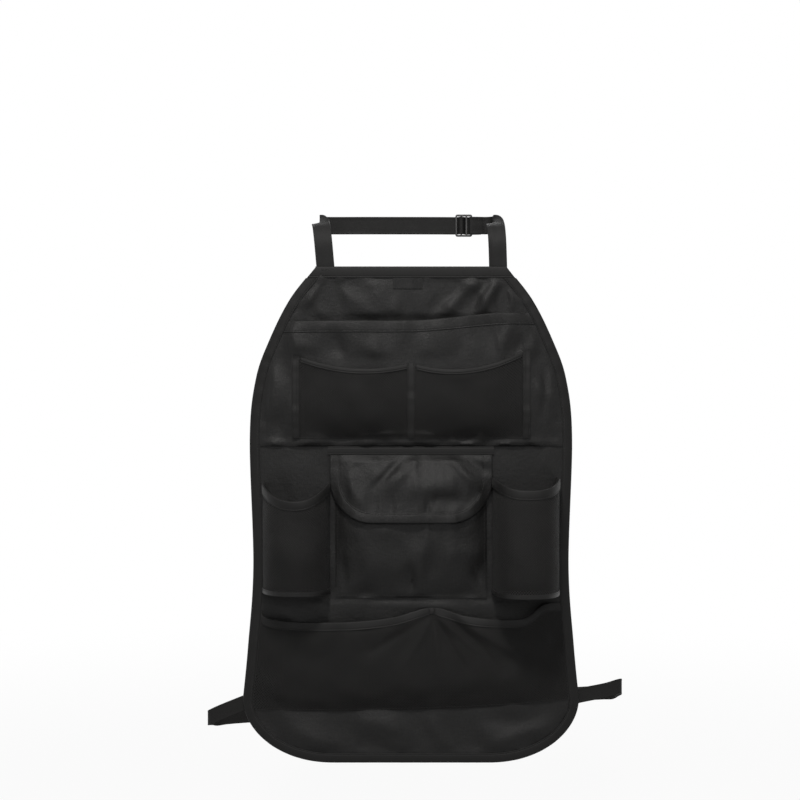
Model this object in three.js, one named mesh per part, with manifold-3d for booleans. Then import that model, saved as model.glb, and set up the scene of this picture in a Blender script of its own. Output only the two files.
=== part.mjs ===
// Car seat back organizer: a hanging cloth panel with cloth and net pockets, sewn webbing straps that go back
// over the top and wrap round what holds them, and elastic belts that close behind it with a buckle.
// Millimetres. +Z is up, +X is to the right as seen from the front, and +Y points to the rear.
// The origin is the middle of the panel's rear face. Depth is measured from that face to the front.
import * as THREE from "three";
import { mergeVertices } from "three/addons/utils/BufferGeometryUtils.js";
import Module from "manifold-3d";

const wasm = await Module();
wasm.setup();

// Clearances between pieces that are sewn or pressed together
const GAP = 0.3;
const LAYER_GAP = 0.5;

// Back panel
const PANEL_TOP = 300;
const PANEL_BOTTOM = -300;
const PANEL_THICK = 2;
const TOP_HALF = 115;
const SHOULDER_HALF = 171;
const SHOULDER_Z = 212;
const CHEST_HALF = 195.5;
const CHEST_Z = 91;
const WAIST_HALF = 191;
const WAIST_Z = -62;
const HIP_HALF = 204;
const HIP_Z = -226;
const CORNER_WIDE = 109;
const FLAT_HALF = 120;
const FLANK_SPAN = 84;
const FLANK_DEPTH = 14;

// Edge bindings and the blank woven label
const TAPE_THICK = 1;
const BINDING_WIDE = 10;
const TOP_BINDING_HIGH = 12;
const LABEL_WIDE = 36;
const LABEL_HIGH = 13;
const LABEL_THICK = 0.8;
const LABEL_X = -4;

// Upper cloth pocket
const CLOTH_THICK = 1;
const UPPER_BOTTOM = 83;
const UPPER_TOP = 234;
const UPPER_LIFT = 10;
const UPPER_BULGE = 14;
const UPPER_HEM = 12.5;

// Two net pockets on the upper cloth pocket
const NET_THICK = 0.8;
const NET_OUTER = 139;
const NET_BOTTOM = 93;
const NET_INNER_TOP = 182.5;
const NET_LEFT_TOP = 192;
const NET_RIGHT_TOP = 199;
const NET_LEFT_SAG = 11;
const NET_RIGHT_SAG = 14.5;
const NET_BULGE = 8;
const NET_HEM = 5;
const SIDE_TAPE_WIDE = 9;

// Flap pocket in the middle
const STRIP_HALF = 101;
const STRIP_HIGH = 10;
const POCKET_HALF = 92;
const POCKET_BOTTOM = -101;
const POCKET_BULGE = 16;
const POCKET_MOUTH = 5.6;
const MOUTH_DROP = 8;
const FLAP_HALF = 97;
const FLAP_HIGH = 80;
const FLAP_ROUND = 50;
const FLAP_HEM = 11;
const PATCH_WIDE = 60;
const PATCH_HIGH = 20;
const PATCH_THICK = 1.2;
const PATCH_Z = 20;

// Side pockets of net, with a cloth base and a bound rim
const RIM_HIGH = 10;
const BASE_THICK = 1;
const SIDE_BOTTOM = -94;
const LEFT_DEEP = 58;
const LEFT_TOP = 37;
const LEFT_SAG = 19;
const LEFT_SQUARE = 0.85;
const RIGHT_X = 139;
const RIGHT_HALF = 40;
const RIGHT_DEEP = 78;
const RIGHT_TOP = 44;
const RIGHT_SAG = 12;
const RIGHT_SQUARE = 0.7;
const BASE_SHARE = 0.9;

// Wide net pocket at the bottom, pinched to the panel at one tack
const LOWER_TOP = -126;
const LOWER_BOTTOM = -239;
const LOWER_LIFT = 13;
const LOWER_BULGE = 18;
const LOWER_HEM = 9;
const TACK_SHARE = 0.14;
const LOWER_EDGE = [[-1, 8], [-0.93, -2], [-0.5, -4.5], [-0.13, 1], [TACK_SHARE, 12.5], [0.34, 4],
  [0.56, -0.5], [0.74, 1], [0.88, 16.5], [1, 17]];

// Top webbing straps: the crest that they go back over, the two upright wraps, and the slider between these
const STRAP_WIDE = 22;
const STRAP_THICK = 1.4;
const STRAP_SEWN = 34;
const CREST_Z = 357;
const CREST_ROUND = 30;
const WRAP_Y = 62;
const WRAP_ROUND = 7;
const LEFT_WRAP_X = -104;
const RIGHT_WRAP_X = 94.4;
const LEFT_STRAP_X = -101.6;
const RIGHT_STRAP_X = 107;
const SLIDER_X = 67;
const SLIDER_BAR = 2;
const SLIDER_SLOT = 4.4;
const SLIDER_THICK = 2;
const SLIDER_EDGE = 2.4;
const STRAP_TAIL = 12;

// Lower elastic belts and the buckle at the rear
const BELT_WIDE = 18;
const BELT_THICK = 1.2;
const BELT_SEWN = 18;
const BELT_FAR_Y = 125;
const LEFT_BELT_Z = -232;
const RIGHT_BELT_Z = -224;
const LEFT_SIDE_X = -252;
const RIGHT_SIDE_X = 262;
const LEFT_SIDE_Z = -253;
const RIGHT_SIDE_Z = -214;
const LEFT_FAR_Z = -272;
const RIGHT_FAR_Z = -238;
const BUCKLE_X = -8;
const BUCKLE_LONG = 34;
const BUCKLE_HIGH = 27;
const BUCKLE_THICK = 9;
const BUCKLE_WALL = 2;
const BUCKLE_TAIL = 11;
const BUCKLE_SLOT = 4.4;
const BUCKLE_BAR = 2.6;
const BUCKLE_ROUND = 3;
const BAR_THICK = 3.2;
const ARM_LONG = 20;
const ARM_THICK = 3.2;
const WINDOW_LONG = 7;
const WINDOW_X = -2;
const TONGUE_HALF = 2;
const BELT_TURN = 15;
const BELT_LEAD = 28;
const FOLDED_END = 24;
const BELT_SLIDER_X = 72;

const CLOTH = finish(0x1d1d1f, 0.9, 0);
const TAPE = finish(0x232325, 0.8, 0);
const NET = finish(0x141416, 0.9, 0);
const WEBBING = finish(0x262628, 0.75, 0);
const ELASTIC = finish(0x222224, 0.85, 0);
const PATCH = finish(0x111112, 0.95, 0);
const LABEL = finish(0x101011, 0.6, 0);
const PLASTIC = finish(0x18181a, 0.4, 0);

function finish(color, roughness, metalness) {
  return new THREE.MeshStandardMaterial({ color, roughness, metalness });
}

const organizer = new THREE.Group();

// A closed mesh from points and triangles, turned so that its faces point outwards.
function addSolid(name, material, points, triangles, parent = organizer) {
  let volume = 0;
  for (let i = 0; i < triangles.length; i += 3) {
    const [a, b, c] = [points[triangles[i]], points[triangles[i + 1]], points[triangles[i + 2]]];
    volume += a.dot(new THREE.Vector3().crossVectors(b, c));
  }
  if (volume < 0) triangles.reverse();
  const geometry = new THREE.BufferGeometry().setFromPoints(points);
  geometry.setIndex(triangles);
  geometry.computeVertexNormals();
  return addMesh(name, material, geometry, parent);
}

function addMesh(name, material, geometry, parent = organizer) {
  const mesh = new THREE.Mesh(geometry, material);
  mesh.name = name;
  parent.add(mesh);
  return mesh;
}

// A thin layer between two faces: place(u, v, 0) gives its rear face and place(u, v, 1) its front face.
// Each quad is split along its shorter diagonal.
function addLayer(name, material, us, vs, place) {
  const points = [];
  const triangles = [];
  const [last, top] = [us.length - 1, vs.length - 1];
  for (const face of [0, 1]) for (const v of vs) for (const u of us) points.push(place(u, v, face));
  const at = (i, j, face) => (face * vs.length + j) * us.length + i;
  const quad = (a, b, c, d) => {
    const split = points[a].distanceTo(points[c]) <= points[b].distanceTo(points[d]);
    triangles.push(...(split ? [a, b, c, a, c, d] : [a, b, d, b, c, d]));
  };
  for (let j = 0; j < top; j++) {
    for (let i = 0; i < last; i++) {
      quad(at(i, j, 1), at(i + 1, j, 1), at(i + 1, j + 1, 1), at(i, j + 1, 1));
      quad(at(i, j, 0), at(i, j + 1, 0), at(i + 1, j + 1, 0), at(i + 1, j, 0));
    }
    quad(at(0, j, 0), at(0, j, 1), at(0, j + 1, 1), at(0, j + 1, 0));
    quad(at(last, j, 1), at(last, j, 0), at(last, j + 1, 0), at(last, j + 1, 1));
  }
  for (let i = 0; i < last; i++) {
    quad(at(i, 0, 0), at(i + 1, 0, 0), at(i + 1, 0, 1), at(i, 0, 1));
    quad(at(i, top, 1), at(i + 1, top, 1), at(i + 1, top, 0), at(i, top, 0));
  }
  return addSolid(name, material, points, triangles);
}

// A section swept through stations: place(station, a, b) puts the section's point (a, b) in space.
function addSweep(name, material, stations, section, place) {
  const ring = section.map(([a, b]) => new THREE.Vector2(a, b));
  if (THREE.ShapeUtils.isClockWise(ring)) ring.reverse();
  const points = [];
  const triangles = [];
  for (const station of stations) for (const p of ring) points.push(place(station, p.x, p.y));
  const size = ring.length;
  for (let s = 0; s + 1 < stations.length; s++) {
    for (let k = 0; k < size; k++) {
      const [a, b] = [s * size + k, s * size + ((k + 1) % size)];
      triangles.push(a, b, b + size, a, b + size, a + size);
    }
  }
  const end = (stations.length - 1) * size;
  for (const [a, b, c] of THREE.ShapeUtils.triangulateShape(ring, [])) {
    triangles.push(c, b, a, end + a, end + b, end + c);
  }
  return addSolid(name, material, points, triangles);
}

// Evenly spaced values from a to b
function steps(a, b, count) {
  return Array.from({ length: count + 1 }, (_, i) => a + ((b - a) * i) / count);
}

function mix(a, b, t) {
  return a + (b - a) * t;
}

function smooth(t) {
  const s = Math.min(1, Math.max(0, t));
  return s * s * (3 - 2 * s);
}

// How far a pouch stands out, from its bottom seam at 0 to its mouth at 1
function pouch(t, mouth) {
  const FULL_AT = 0.4;
  if (t < FULL_AT) return Math.sin((Math.PI / 2) * (t / FULL_AT));
  return 1 - (1 - mouth) * ((t - FULL_AT) / (1 - FULL_AT)) ** 2;
}

// The panel's side edge, from the top down to the start of the flat bottom edge
const sideEdge = makeSideEdge();

function makeSideEdge() {
  const side = new THREE.SplineCurve([
    new THREE.Vector2(TOP_HALF, PANEL_TOP),
    new THREE.Vector2(mix(TOP_HALF, SHOULDER_HALF, 0.55), mix(PANEL_TOP, SHOULDER_Z, 0.44)),
    new THREE.Vector2(SHOULDER_HALF, SHOULDER_Z),
    new THREE.Vector2(mix(SHOULDER_HALF, CHEST_HALF, 0.7), mix(SHOULDER_Z, CHEST_Z, 0.4)),
    new THREE.Vector2(CHEST_HALF, CHEST_Z),
    new THREE.Vector2(WAIST_HALF, WAIST_Z),
    new THREE.Vector2(mix(WAIST_HALF, HIP_HALF, 0.5), mix(WAIST_Z, HIP_Z, 0.6)),
    new THREE.Vector2(HIP_HALF, HIP_Z),
  ]).getPoints(13);
  const high = HIP_Z - PANEL_BOTTOM;
  const corner = steps(0, Math.PI / 2, 7).slice(1).map((a) => new THREE.Vector2(
    HIP_HALF - CORNER_WIDE * (1 - Math.cos(a)), HIP_Z - high * Math.sin(a)));
  return [...side, ...corner];
}

function halfWidth(z) {
  for (let i = 0; i + 1 < sideEdge.length; i++) {
    const [a, b] = [sideEdge[i], sideEdge[i + 1]];
    if (z <= a.y && z >= b.y) return mix(a.x, b.x, (a.y - z) / (a.y - b.y));
  }
  return z > PANEL_TOP ? TOP_HALF : sideEdge[sideEdge.length - 1].x;
}

// The panel lies flat in the middle and curves back towards its sides.
function flank(x) {
  const past = Math.max(0, Math.abs(x) - FLAT_HALF);
  return FLANK_DEPTH * (past / FLANK_SPAN) ** 2;
}

// A point over the panel, at a depth in front of its rear face
function over(x, z, depth) {
  return new THREE.Vector3(x, flank(x) - depth, z);
}

const FIRST_LAYER = PANEL_THICK + GAP;

// The half width between the edge bindings, whose width is measured square to the slanting edge
function innerHalf(z) {
  const slope = (halfWidth(z + 5) - halfWidth(z - 5)) / 10;
  return halfWidth(z) - (BINDING_WIDE + LAYER_GAP) * Math.hypot(1, slope);
}

function addPanel() {
  const outer = steps(0.6, 1, 6);
  const shares = [...outer.map((s) => -s).reverse(), 0, ...outer];
  addLayer("back_panel", CLOTH, shares, sideEdge, (s, edge, face) =>
    over(s * edge.x, edge.y, face * PANEL_THICK));
}

// A tape folded over an edge: a section of eight points, by distance outside the edge and by depth
function foldedTape(wide) {
  const [outside, inside] = [GAP + TAPE_THICK, GAP];
  const [rear, front] = [-GAP, PANEL_THICK + GAP];
  return [[-wide, rear - TAPE_THICK], [outside, rear - TAPE_THICK], [outside, front + TAPE_THICK],
    [-wide, front + TAPE_THICK], [-wide, front], [inside, front], [inside, rear], [-wide, rear]];
}

function addEdgeBinding() {
  const start = PANEL_TOP - TOP_BINDING_HIGH - GAP;
  const right = [new THREE.Vector2(halfWidth(start), start), ...sideEdge.filter((p) => p.y < start - 1)];
  const left = right.map((p) => new THREE.Vector2(-p.x, p.y));
  const line = [...right, ...left.reverse()];
  const stations = line.map((p, i) => {
    const along = line[Math.min(i + 1, line.length - 1)].clone().sub(line[Math.max(i - 1, 0)]).normalize();
    const out = new THREE.Vector2(-along.y, along.x);
    const end = i === 0 || i === line.length - 1;
    return { p, out: end ? new THREE.Vector2(1 / out.x, 0) : out };
  });
  addSweep("edge_binding", TAPE, stations, foldedTape(BINDING_WIDE), ({ p, out }, away, depth) =>
    over(p.x + out.x * away, p.y + out.y * away, depth));
}

function addTopBinding() {
  const half = (z) => halfWidth(Math.min(z, PANEL_TOP)) + GAP + TAPE_THICK;
  addSweep("top_binding", TAPE, [-1, 0, 1], foldedTape(TOP_BINDING_HIGH), (s, away, depth) =>
    over(s * half(PANEL_TOP + away), PANEL_TOP + away, depth));
}

function addLabel() {
  const top = PANEL_TOP - TOP_BINDING_HIGH - GAP;
  addLayer("blank_label", LABEL, [-LABEL_WIDE / 2, LABEL_WIDE / 2], [top - LABEL_HIGH, top], (x, z, face) =>
    over(LABEL_X + x, z, FIRST_LAYER + face * LABEL_THICK));
}

// Upper cloth pocket: it spans the panel between the edge bindings and stands out like a bag.
function upperTop(x) {
  return UPPER_TOP + UPPER_LIFT * smooth((x + 10) / CHEST_HALF * 1.4);
}

function upperStandOut(x, z) {
  const t = Math.min(1, Math.max(0, (z - UPPER_BOTTOM) / (UPPER_TOP - UPPER_BOTTOM)));
  const across = Math.min(1, Math.abs(x) / innerHalf(z));
  return UPPER_BULGE * (1 - across ** 2.5) * pouch(t, 0.55);
}

const upperFront = (x, z) => FIRST_LAYER + CLOTH_THICK + upperStandOut(x, z);

function addUpperPocket() {
  const outer = [0.25, 0.5, 0.66, ...steps(0.75, 1, 3)];
  const us = [...outer.map((u) => -u).reverse(), 0, ...outer];
  addLayer("upper_pocket", CLOTH, us, steps(0, 1, 11), (u, t, face) => {
    const z = mix(UPPER_BOTTOM, upperTop(u * innerHalf(UPPER_TOP)), t);
    const x = u * innerHalf(z);
    return over(x, z, upperFront(x, z) - (1 - face) * CLOTH_THICK);
  });
  addLayer("upper_pocket_hem", TAPE, us, [1, 0.5, 0], (u, v, face) => {
    const z = upperTop(u * innerHalf(UPPER_TOP)) - v * UPPER_HEM;
    const x = u * innerHalf(z);
    return over(x, z, upperFront(x, z) + LAYER_GAP + face * TAPE_THICK);
  });
}

// The two small net pockets lie on the upper pocket's cloth and share a middle tape.
function netTop(side, u) {
  const outer = side < 0 ? NET_LEFT_TOP : NET_RIGHT_TOP;
  const sag = side < 0 ? NET_LEFT_SAG : NET_RIGHT_SAG;
  return mix(NET_INNER_TOP, outer, u) - sag * 4 * u * (1 - u);
}

function netFront(side, x, z) {
  const u = Math.min(1, Math.abs(x) / NET_OUTER);
  const t = Math.min(1, Math.max(0, (z - NET_BOTTOM) / (netTop(side, u) - NET_BOTTOM)));
  const out = NET_BULGE * (1 - (2 * u - 1) ** 2) * pouch(t, 0.9);
  return upperFront(x, z) + LAYER_GAP + NET_THICK + out;
}

function addUpperNet(side, word) {
  const us = steps(0, 1, 7);
  const xAt = (u) => side * mix(1, NET_OUTER, u);
  addLayer(`net_pocket_${word}`, NET, us, steps(0, 1, 6), (u, t, face) => {
    const z = mix(NET_BOTTOM, netTop(side, u), t);
    return over(xAt(u), z, netFront(side, xAt(u), z) - (1 - face) * NET_THICK);
  });
  const taped = SIDE_TAPE_WIDE / 2 / NET_OUTER;
  const between = us.map((u) => mix(taped + 0.01, 1 - taped, u));
  addLayer(`net_binding_${word}`, TAPE, between, [1, 0], (u, v, face) => {
    const z = netTop(side, u) - v * NET_HEM;
    return over(xAt(u), z, netFront(side, xAt(u), z) + GAP + face * TAPE_THICK);
  });
}

// Upright tapes that sew down the sides of the two net pockets
function addNetTapes() {
  const tapes = [
    ["left_tape", -NET_OUTER - 1, NET_LEFT_TOP + 1],
    ["centre_tape", 0, NET_INNER_TOP + 1],
    ["right_tape", NET_OUTER + 1, NET_RIGHT_TOP + 1],
  ];
  for (const [name, x, top] of tapes) {
    const us = [-SIDE_TAPE_WIDE / 2, 0, SIDE_TAPE_WIDE / 2];
    const side = x < 0 ? -1 : 1;
    addLayer(name, TAPE, us, steps(NET_BOTTOM, top, 6), (u, z, face) => {
      const under = Math.max(netFront(side, x + u, z), netFront(side, x - u, z));
      return over(x + u, z, under + LAYER_GAP + face * TAPE_THICK);
    });
  }
}

// Flap pocket: a cloth bag sewn to the panel, under a flap with rounded lower corners.
const STRIP_TOP = UPPER_BOTTOM - GAP;
const FLAP_TOP = STRIP_TOP - STRIP_HIGH - GAP;
const MOUTH_Z = FLAP_TOP - MOUTH_DROP;

function bagStandOut(x, z) {
  const across = Math.min(1, Math.abs(x) / POCKET_HALF);
  const t = (z - POCKET_BOTTOM) / (MOUTH_Z - POCKET_BOTTOM);
  const mouth = POCKET_MOUTH / POCKET_BULGE;
  const up = t <= 1 ? pouch(Math.max(0, t), mouth) : mouth * Math.max(0, (FLAP_TOP - z) / MOUTH_DROP);
  return POCKET_BULGE * (1 - across ** 4) * up;
}

const bagFront = (x, z) => FIRST_LAYER + CLOTH_THICK + bagStandOut(x, z);

const BAG_COLUMNS = steps(-Math.PI / 2, Math.PI / 2, 12).map((a) => POCKET_HALF * Math.sin(a));

function flapRear(x, z) {
  const patches = 2 * (PATCH_THICK + GAP);
  return bagFront(x, z) + LAYER_GAP + patches * smooth((MOUTH_Z - z) / PATCH_HIGH);
}

function flapHalf(z) {
  const low = FLAP_TOP - FLAP_HIGH + FLAP_ROUND - z;
  if (low <= 0) return FLAP_HALF;
  return FLAP_HALF - FLAP_ROUND + Math.sqrt(Math.max(0, FLAP_ROUND ** 2 - low ** 2));
}

function addFlapPocket() {
  const stripRows = [STRIP_TOP - STRIP_HIGH, STRIP_TOP];
  addLayer("flap_strip", TAPE, [-STRIP_HALF, 0, STRIP_HALF], stripRows, (x, z, face) =>
    over(x, z, FIRST_LAYER + face * TAPE_THICK));
  addLayer("flap_pocket", CLOTH, BAG_COLUMNS, steps(POCKET_BOTTOM, MOUTH_Z, 10), (x, z, face) =>
    over(x, z, bagFront(x, z) - (1 - face) * CLOTH_THICK));
  const patchColumns = steps(-PATCH_WIDE / 2, PATCH_WIDE / 2, 4);
  const patchRows = steps(PATCH_Z - PATCH_HIGH / 2, PATCH_Z + PATCH_HIGH / 2, 2);
  addLayer("loop_patch", PATCH, patchColumns, patchRows, (x, z, face) =>
    over(x, z, bagFront(x, z) + GAP + face * PATCH_THICK));
  addLayer("hook_patch", PATCH, patchColumns, patchRows, (x, z, face) =>
    over(x, z, bagFront(x, z) + 2 * GAP + PATCH_THICK + face * PATCH_THICK));
}

// The flap's lower edge as a line, from its top left corner round to its top right one
function flapEdge(inset) {
  const bottom = FLAP_TOP - FLAP_HIGH + inset;
  const [half, round] = [FLAP_HALF - inset, FLAP_ROUND - inset];
  const turn = (sign, a) => new THREE.Vector2(
    sign * (half - round + round * Math.cos(a)), bottom + round - round * Math.sin(a));
  const angles = steps(0, Math.PI / 2, 8);
  const side = steps(FLAP_TOP, bottom + round, 3).slice(0, -1);
  const flat = steps(-half + round, half - round, 6).slice(1, -1);
  return [
    ...side.map((z) => new THREE.Vector2(-half, z)),
    ...angles.map((a) => turn(-1, a)),
    ...flat.map((x) => new THREE.Vector2(x, bottom)),
    ...angles.map((a) => turn(1, a)).reverse(),
    ...side.map((z) => new THREE.Vector2(half, z)).reverse(),
  ];
}

function addFlap() {
  const round = steps(0, Math.PI / 2, 6).map((a) => FLAP_TOP - FLAP_HIGH + FLAP_ROUND * (1 - Math.sin(a)));
  const straight = steps(FLAP_TOP - FLAP_HIGH + FLAP_ROUND, FLAP_TOP, 4).slice(1);
  const shares = [-1, ...BAG_COLUMNS.map((x) => x / FLAP_HALF), 1];
  addLayer("flap", CLOTH, shares, [...round.reverse(), ...straight], (s, z, face) => {
    const x = s * flapHalf(z);
    return over(x, z, flapRear(x, z) + face * CLOTH_THICK);
  });
  const [outer, inner] = [flapEdge(0), flapEdge(FLAP_HEM)];
  addLayer("flap_binding", TAPE, outer.map((_, i) => i), [0, 0.5, 1], (i, v, face) => {
    const p = outer[i].clone().lerp(inner[i], v);
    return over(p.x, p.y, flapRear(p.x, p.y) + CLOTH_THICK + LAYER_GAP + face * TAPE_THICK);
  });
}

// A side pocket: a standing net wall round a rounded base, with a bound rim that sags at its middle
function addSidePocket(word, pocket) {
  const { x: middle, half, deep, top, sag, square, squareBase } = pocket;
  const turns = steps(0, Math.PI, 12);
  const around = (a, wide, out) => {
    const [c, s] = [Math.cos(a), Math.max(0, Math.sin(a))];
    return [middle + wide * Math.sign(c) * Math.abs(c) ** square, FIRST_LAYER + out * s ** square];
  };
  const rim = (a) => top - sag * Math.sin(a) ** 2;
  const share = (z) => mix(squareBase, 1, smooth((z - SIDE_BOTTOM) / (top - SIDE_BOTTOM) * 1.6));
  const wall = (a, z, inset) => {
    const [x, depth] = around(a, half - inset, deep * share(z) - inset);
    return over(x, z, depth);
  };
  const low = SIDE_BOTTOM + BASE_THICK + GAP;
  addLayer(`side_net_${word}`, NET, turns, steps(0, 1, 6), (a, t, face) =>
    wall(a, mix(low, rim(a), t), (1 - face) * NET_THICK));
  addLayer(`side_rim_${word}`, TAPE, turns, [1, 0], (a, v, face) =>
    wall(a, rim(a) - v * RIM_HIGH, -LAYER_GAP - face * TAPE_THICK));
  const front = turns.map((a) => around(a, half, deep * squareBase));
  const back = steps(middle - half, middle + half, 6).slice(1, -1).map((x) => [x, FIRST_LAYER]);
  const baseRows = [SIDE_BOTTOM, SIDE_BOTTOM + BASE_THICK];
  addSweep(`side_base_${word}`, CLOTH, baseRows, [...front, ...back], (z, x, depth) => over(x, z, depth));
}

function addSidePockets() {
  const outer = WAIST_HALF - BINDING_WIDE - 2 * GAP;
  const inner = FLAP_HALF + 2 * LAYER_GAP + TAPE_THICK;
  addSidePocket("left", { x: -(outer + inner) / 2, half: (outer - inner) / 2, deep: LEFT_DEEP,
    top: LEFT_TOP, sag: LEFT_SAG, square: LEFT_SQUARE, squareBase: BASE_SHARE });
  addSidePocket("right", { x: RIGHT_X, half: RIGHT_HALF, deep: RIGHT_DEEP,
    top: RIGHT_TOP, sag: RIGHT_SAG, square: RIGHT_SQUARE, squareBase: 1 });
}

// Wide lower net pocket, with a loose bound edge that one tack pins to the panel
const lowerEdgePoints = LOWER_EDGE.map(([s, lift]) => new THREE.Vector2(s, lift));
const lowerEdge = new THREE.SplineCurve(lowerEdgePoints).getPoints(60);

function lowerTop(s) {
  const i = Math.max(1, lowerEdge.findIndex((p) => p.x >= s));
  const [a, b] = [lowerEdge[i - 1], lowerEdge[i]];
  return LOWER_TOP + mix(a.y, b.y, Math.min(1, Math.max(0, (s - a.x) / (b.x - a.x))));
}

function lowerFront(s, t) {
  const arch = (a) => Math.sin(Math.PI * Math.min(1, Math.max(0, a))) ** 0.7;
  const whole = arch((s + 1) / 2);
  const beside = s < TACK_SHARE ? (s + 1) / (TACK_SHARE + 1) : (s - TACK_SHARE) / (1 - TACK_SHARE);
  const pinned = arch(beside);
  const out = LOWER_BULGE * mix(whole, pinned, Math.min(1, t) ** 2) * pouch(Math.min(1, t), 0.8);
  return FIRST_LAYER + NET_THICK + out;
}

function addLowerPocket() {
  const us = [...steps(-1, TACK_SHARE, 10), ...steps(TACK_SHARE, 1, 8).slice(1)];
  const bottom = (s) => LOWER_BOTTOM + LOWER_LIFT * ((s + 1) / 2) ** 3;
  const point = (s, t) => {
    const z = mix(bottom(s), lowerTop(s), t);
    return [s * innerHalf(z), z, lowerFront(s, t)];
  };
  addLayer("lower_net", NET, us, steps(0, 1, 7), (s, t, face) => {
    const [x, z, depth] = point(s, t);
    return over(x, z, depth - (1 - face) * NET_THICK);
  });
  addLayer("lower_net_binding", TAPE, us, [0, 0.5, 1], (s, v, face) => {
    const t = 1 - (v * LOWER_HEM) / (lowerTop(s) - bottom(s));
    const [x, z, depth] = point(s, t);
    return over(x, z, depth + LAYER_GAP + face * TAPE_THICK);
  });
}

const STRAP_STEPS = 2;

// A flat strap along a line of points. Each point gives x, y, z and how far the strap has turned on edge,
// from 0, with its width along X, to 1, with its width upright.
function addStrap(name, material, wide, thick, points) {
  const route = points.map(([x, y, z]) => new THREE.Vector3(x, y, z));
  const curve = new THREE.CatmullRomCurve3(route, false, "centripetal");
  const last = points.length - 1;
  const stations = steps(0, last, last * STRAP_STEPS).map((k) => {
    const i = Math.min(last - 1, Math.floor(k));
    const edge = mix(points[i][3], points[i + 1][3], k - i);
    const at = curve.getPoint(k / last);
    const along = curve.getTangent(k / last);
    const hint = new THREE.Vector3(Math.cos((edge * Math.PI) / 2), 0, Math.sin((edge * Math.PI) / 2));
    const across = hint.addScaledVector(along, -hint.dot(along)).normalize();
    return { at, across, normal: new THREE.Vector3().crossVectors(along, across) };
  });
  const [w, t] = [wide / 2, thick / 2];
  addSweep(name, material, stations, [[-w, -t], [w, -t], [w, t], [-w, t]], ({ at, across, normal }, a, b) =>
    at.clone().addScaledVector(across, a).addScaledVector(normal, b));
}

const STRAP_Z = CREST_Z + 2;
const STRAP_BEHIND = GAP + TAPE_THICK + GAP + STRAP_THICK / 2;
const WRAP_REACH = WRAP_ROUND + GAP + STRAP_THICK / 2 + 1;
const CROSS_Y = WRAP_Y + WRAP_REACH;

// From the seam behind the top binding, back over the crest, then on edge round the wrap's outer side
function strapToWrap(base, wrap) {
  const out = Math.sign(wrap);
  const beside = wrap + out * WRAP_REACH;
  const sewn = PANEL_TOP - STRAP_SEWN;
  return [
    [base, STRAP_BEHIND, sewn, 0],
    [mix(base, beside, 0.1), STRAP_BEHIND, PANEL_TOP - STRAP_SEWN / 2, 0],
    [mix(base, beside, 0.3), STRAP_BEHIND, PANEL_TOP + 10, 0],
    [mix(base, beside, 0.5), STRAP_BEHIND + CREST_ROUND * 0.08, CREST_Z - CREST_ROUND * 0.75, 0],
    [mix(base, beside, 0.7), STRAP_BEHIND + CREST_ROUND * 0.4, CREST_Z - CREST_ROUND * 0.2, 0],
    [mix(base, beside, 0.85), STRAP_BEHIND + CREST_ROUND * 0.8, CREST_Z + 0.5, 0.1],
    [mix(base, beside, 0.95), mix(CREST_ROUND, WRAP_Y, 0.25), STRAP_Z, 0.55],
    [beside, mix(CREST_ROUND, WRAP_Y, 0.55), STRAP_Z, 1],
    [beside, mix(CREST_ROUND, WRAP_Y, 0.8), STRAP_Z, 1],
    [beside, WRAP_Y, STRAP_Z, 1],
    [wrap + out * WRAP_REACH * Math.SQRT1_2, WRAP_Y + WRAP_REACH * Math.SQRT1_2, STRAP_Z, 1],
    [wrap, CROSS_Y, STRAP_Z, 1],
  ];
}

// The x and y places of a strap that weaves over a slider's bars, behind a bar at 1 and before it at -1
function weave(bars, sides, thick) {
  const aside = SLIDER_THICK / 2 + 2 * GAP + thick / 2;
  const reach = (SLIDER_BAR / 2 + GAP) * Math.sign(bars[1] - bars[0]);
  return bars.flatMap((x, i) => {
    const spots = [[x - reach, sides[i] * aside], [x + reach, sides[i] * aside]];
    if (i + 1 < bars.length) spots.push([mix(x, bars[i + 1], 0.5), 0]);
    return spots;
  });
}

// The x and y places of a strap's end that comes in from one side, turns round a bar and lies back on itself
function roundBar(x, side, halfWide, halfThick, thick) {
  const clear = 2 * GAP + thick / 2;
  const pair = (thick + GAP) / 2;
  const half = [
    [x + side * FOLDED_END, pair],
    [x + (side * FOLDED_END) / 2, pair],
    [x + side * halfWide, halfThick + clear],
    [x, halfThick + clear],
    [x - side * (halfWide + 0.7 * clear), halfThick + 0.6 * clear],
  ];
  const back = half.map(([a, b]) => [a, -b]).reverse();
  return [...half, [x - side * (halfWide + 1.1 * clear), 0], ...back];
}

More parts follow.
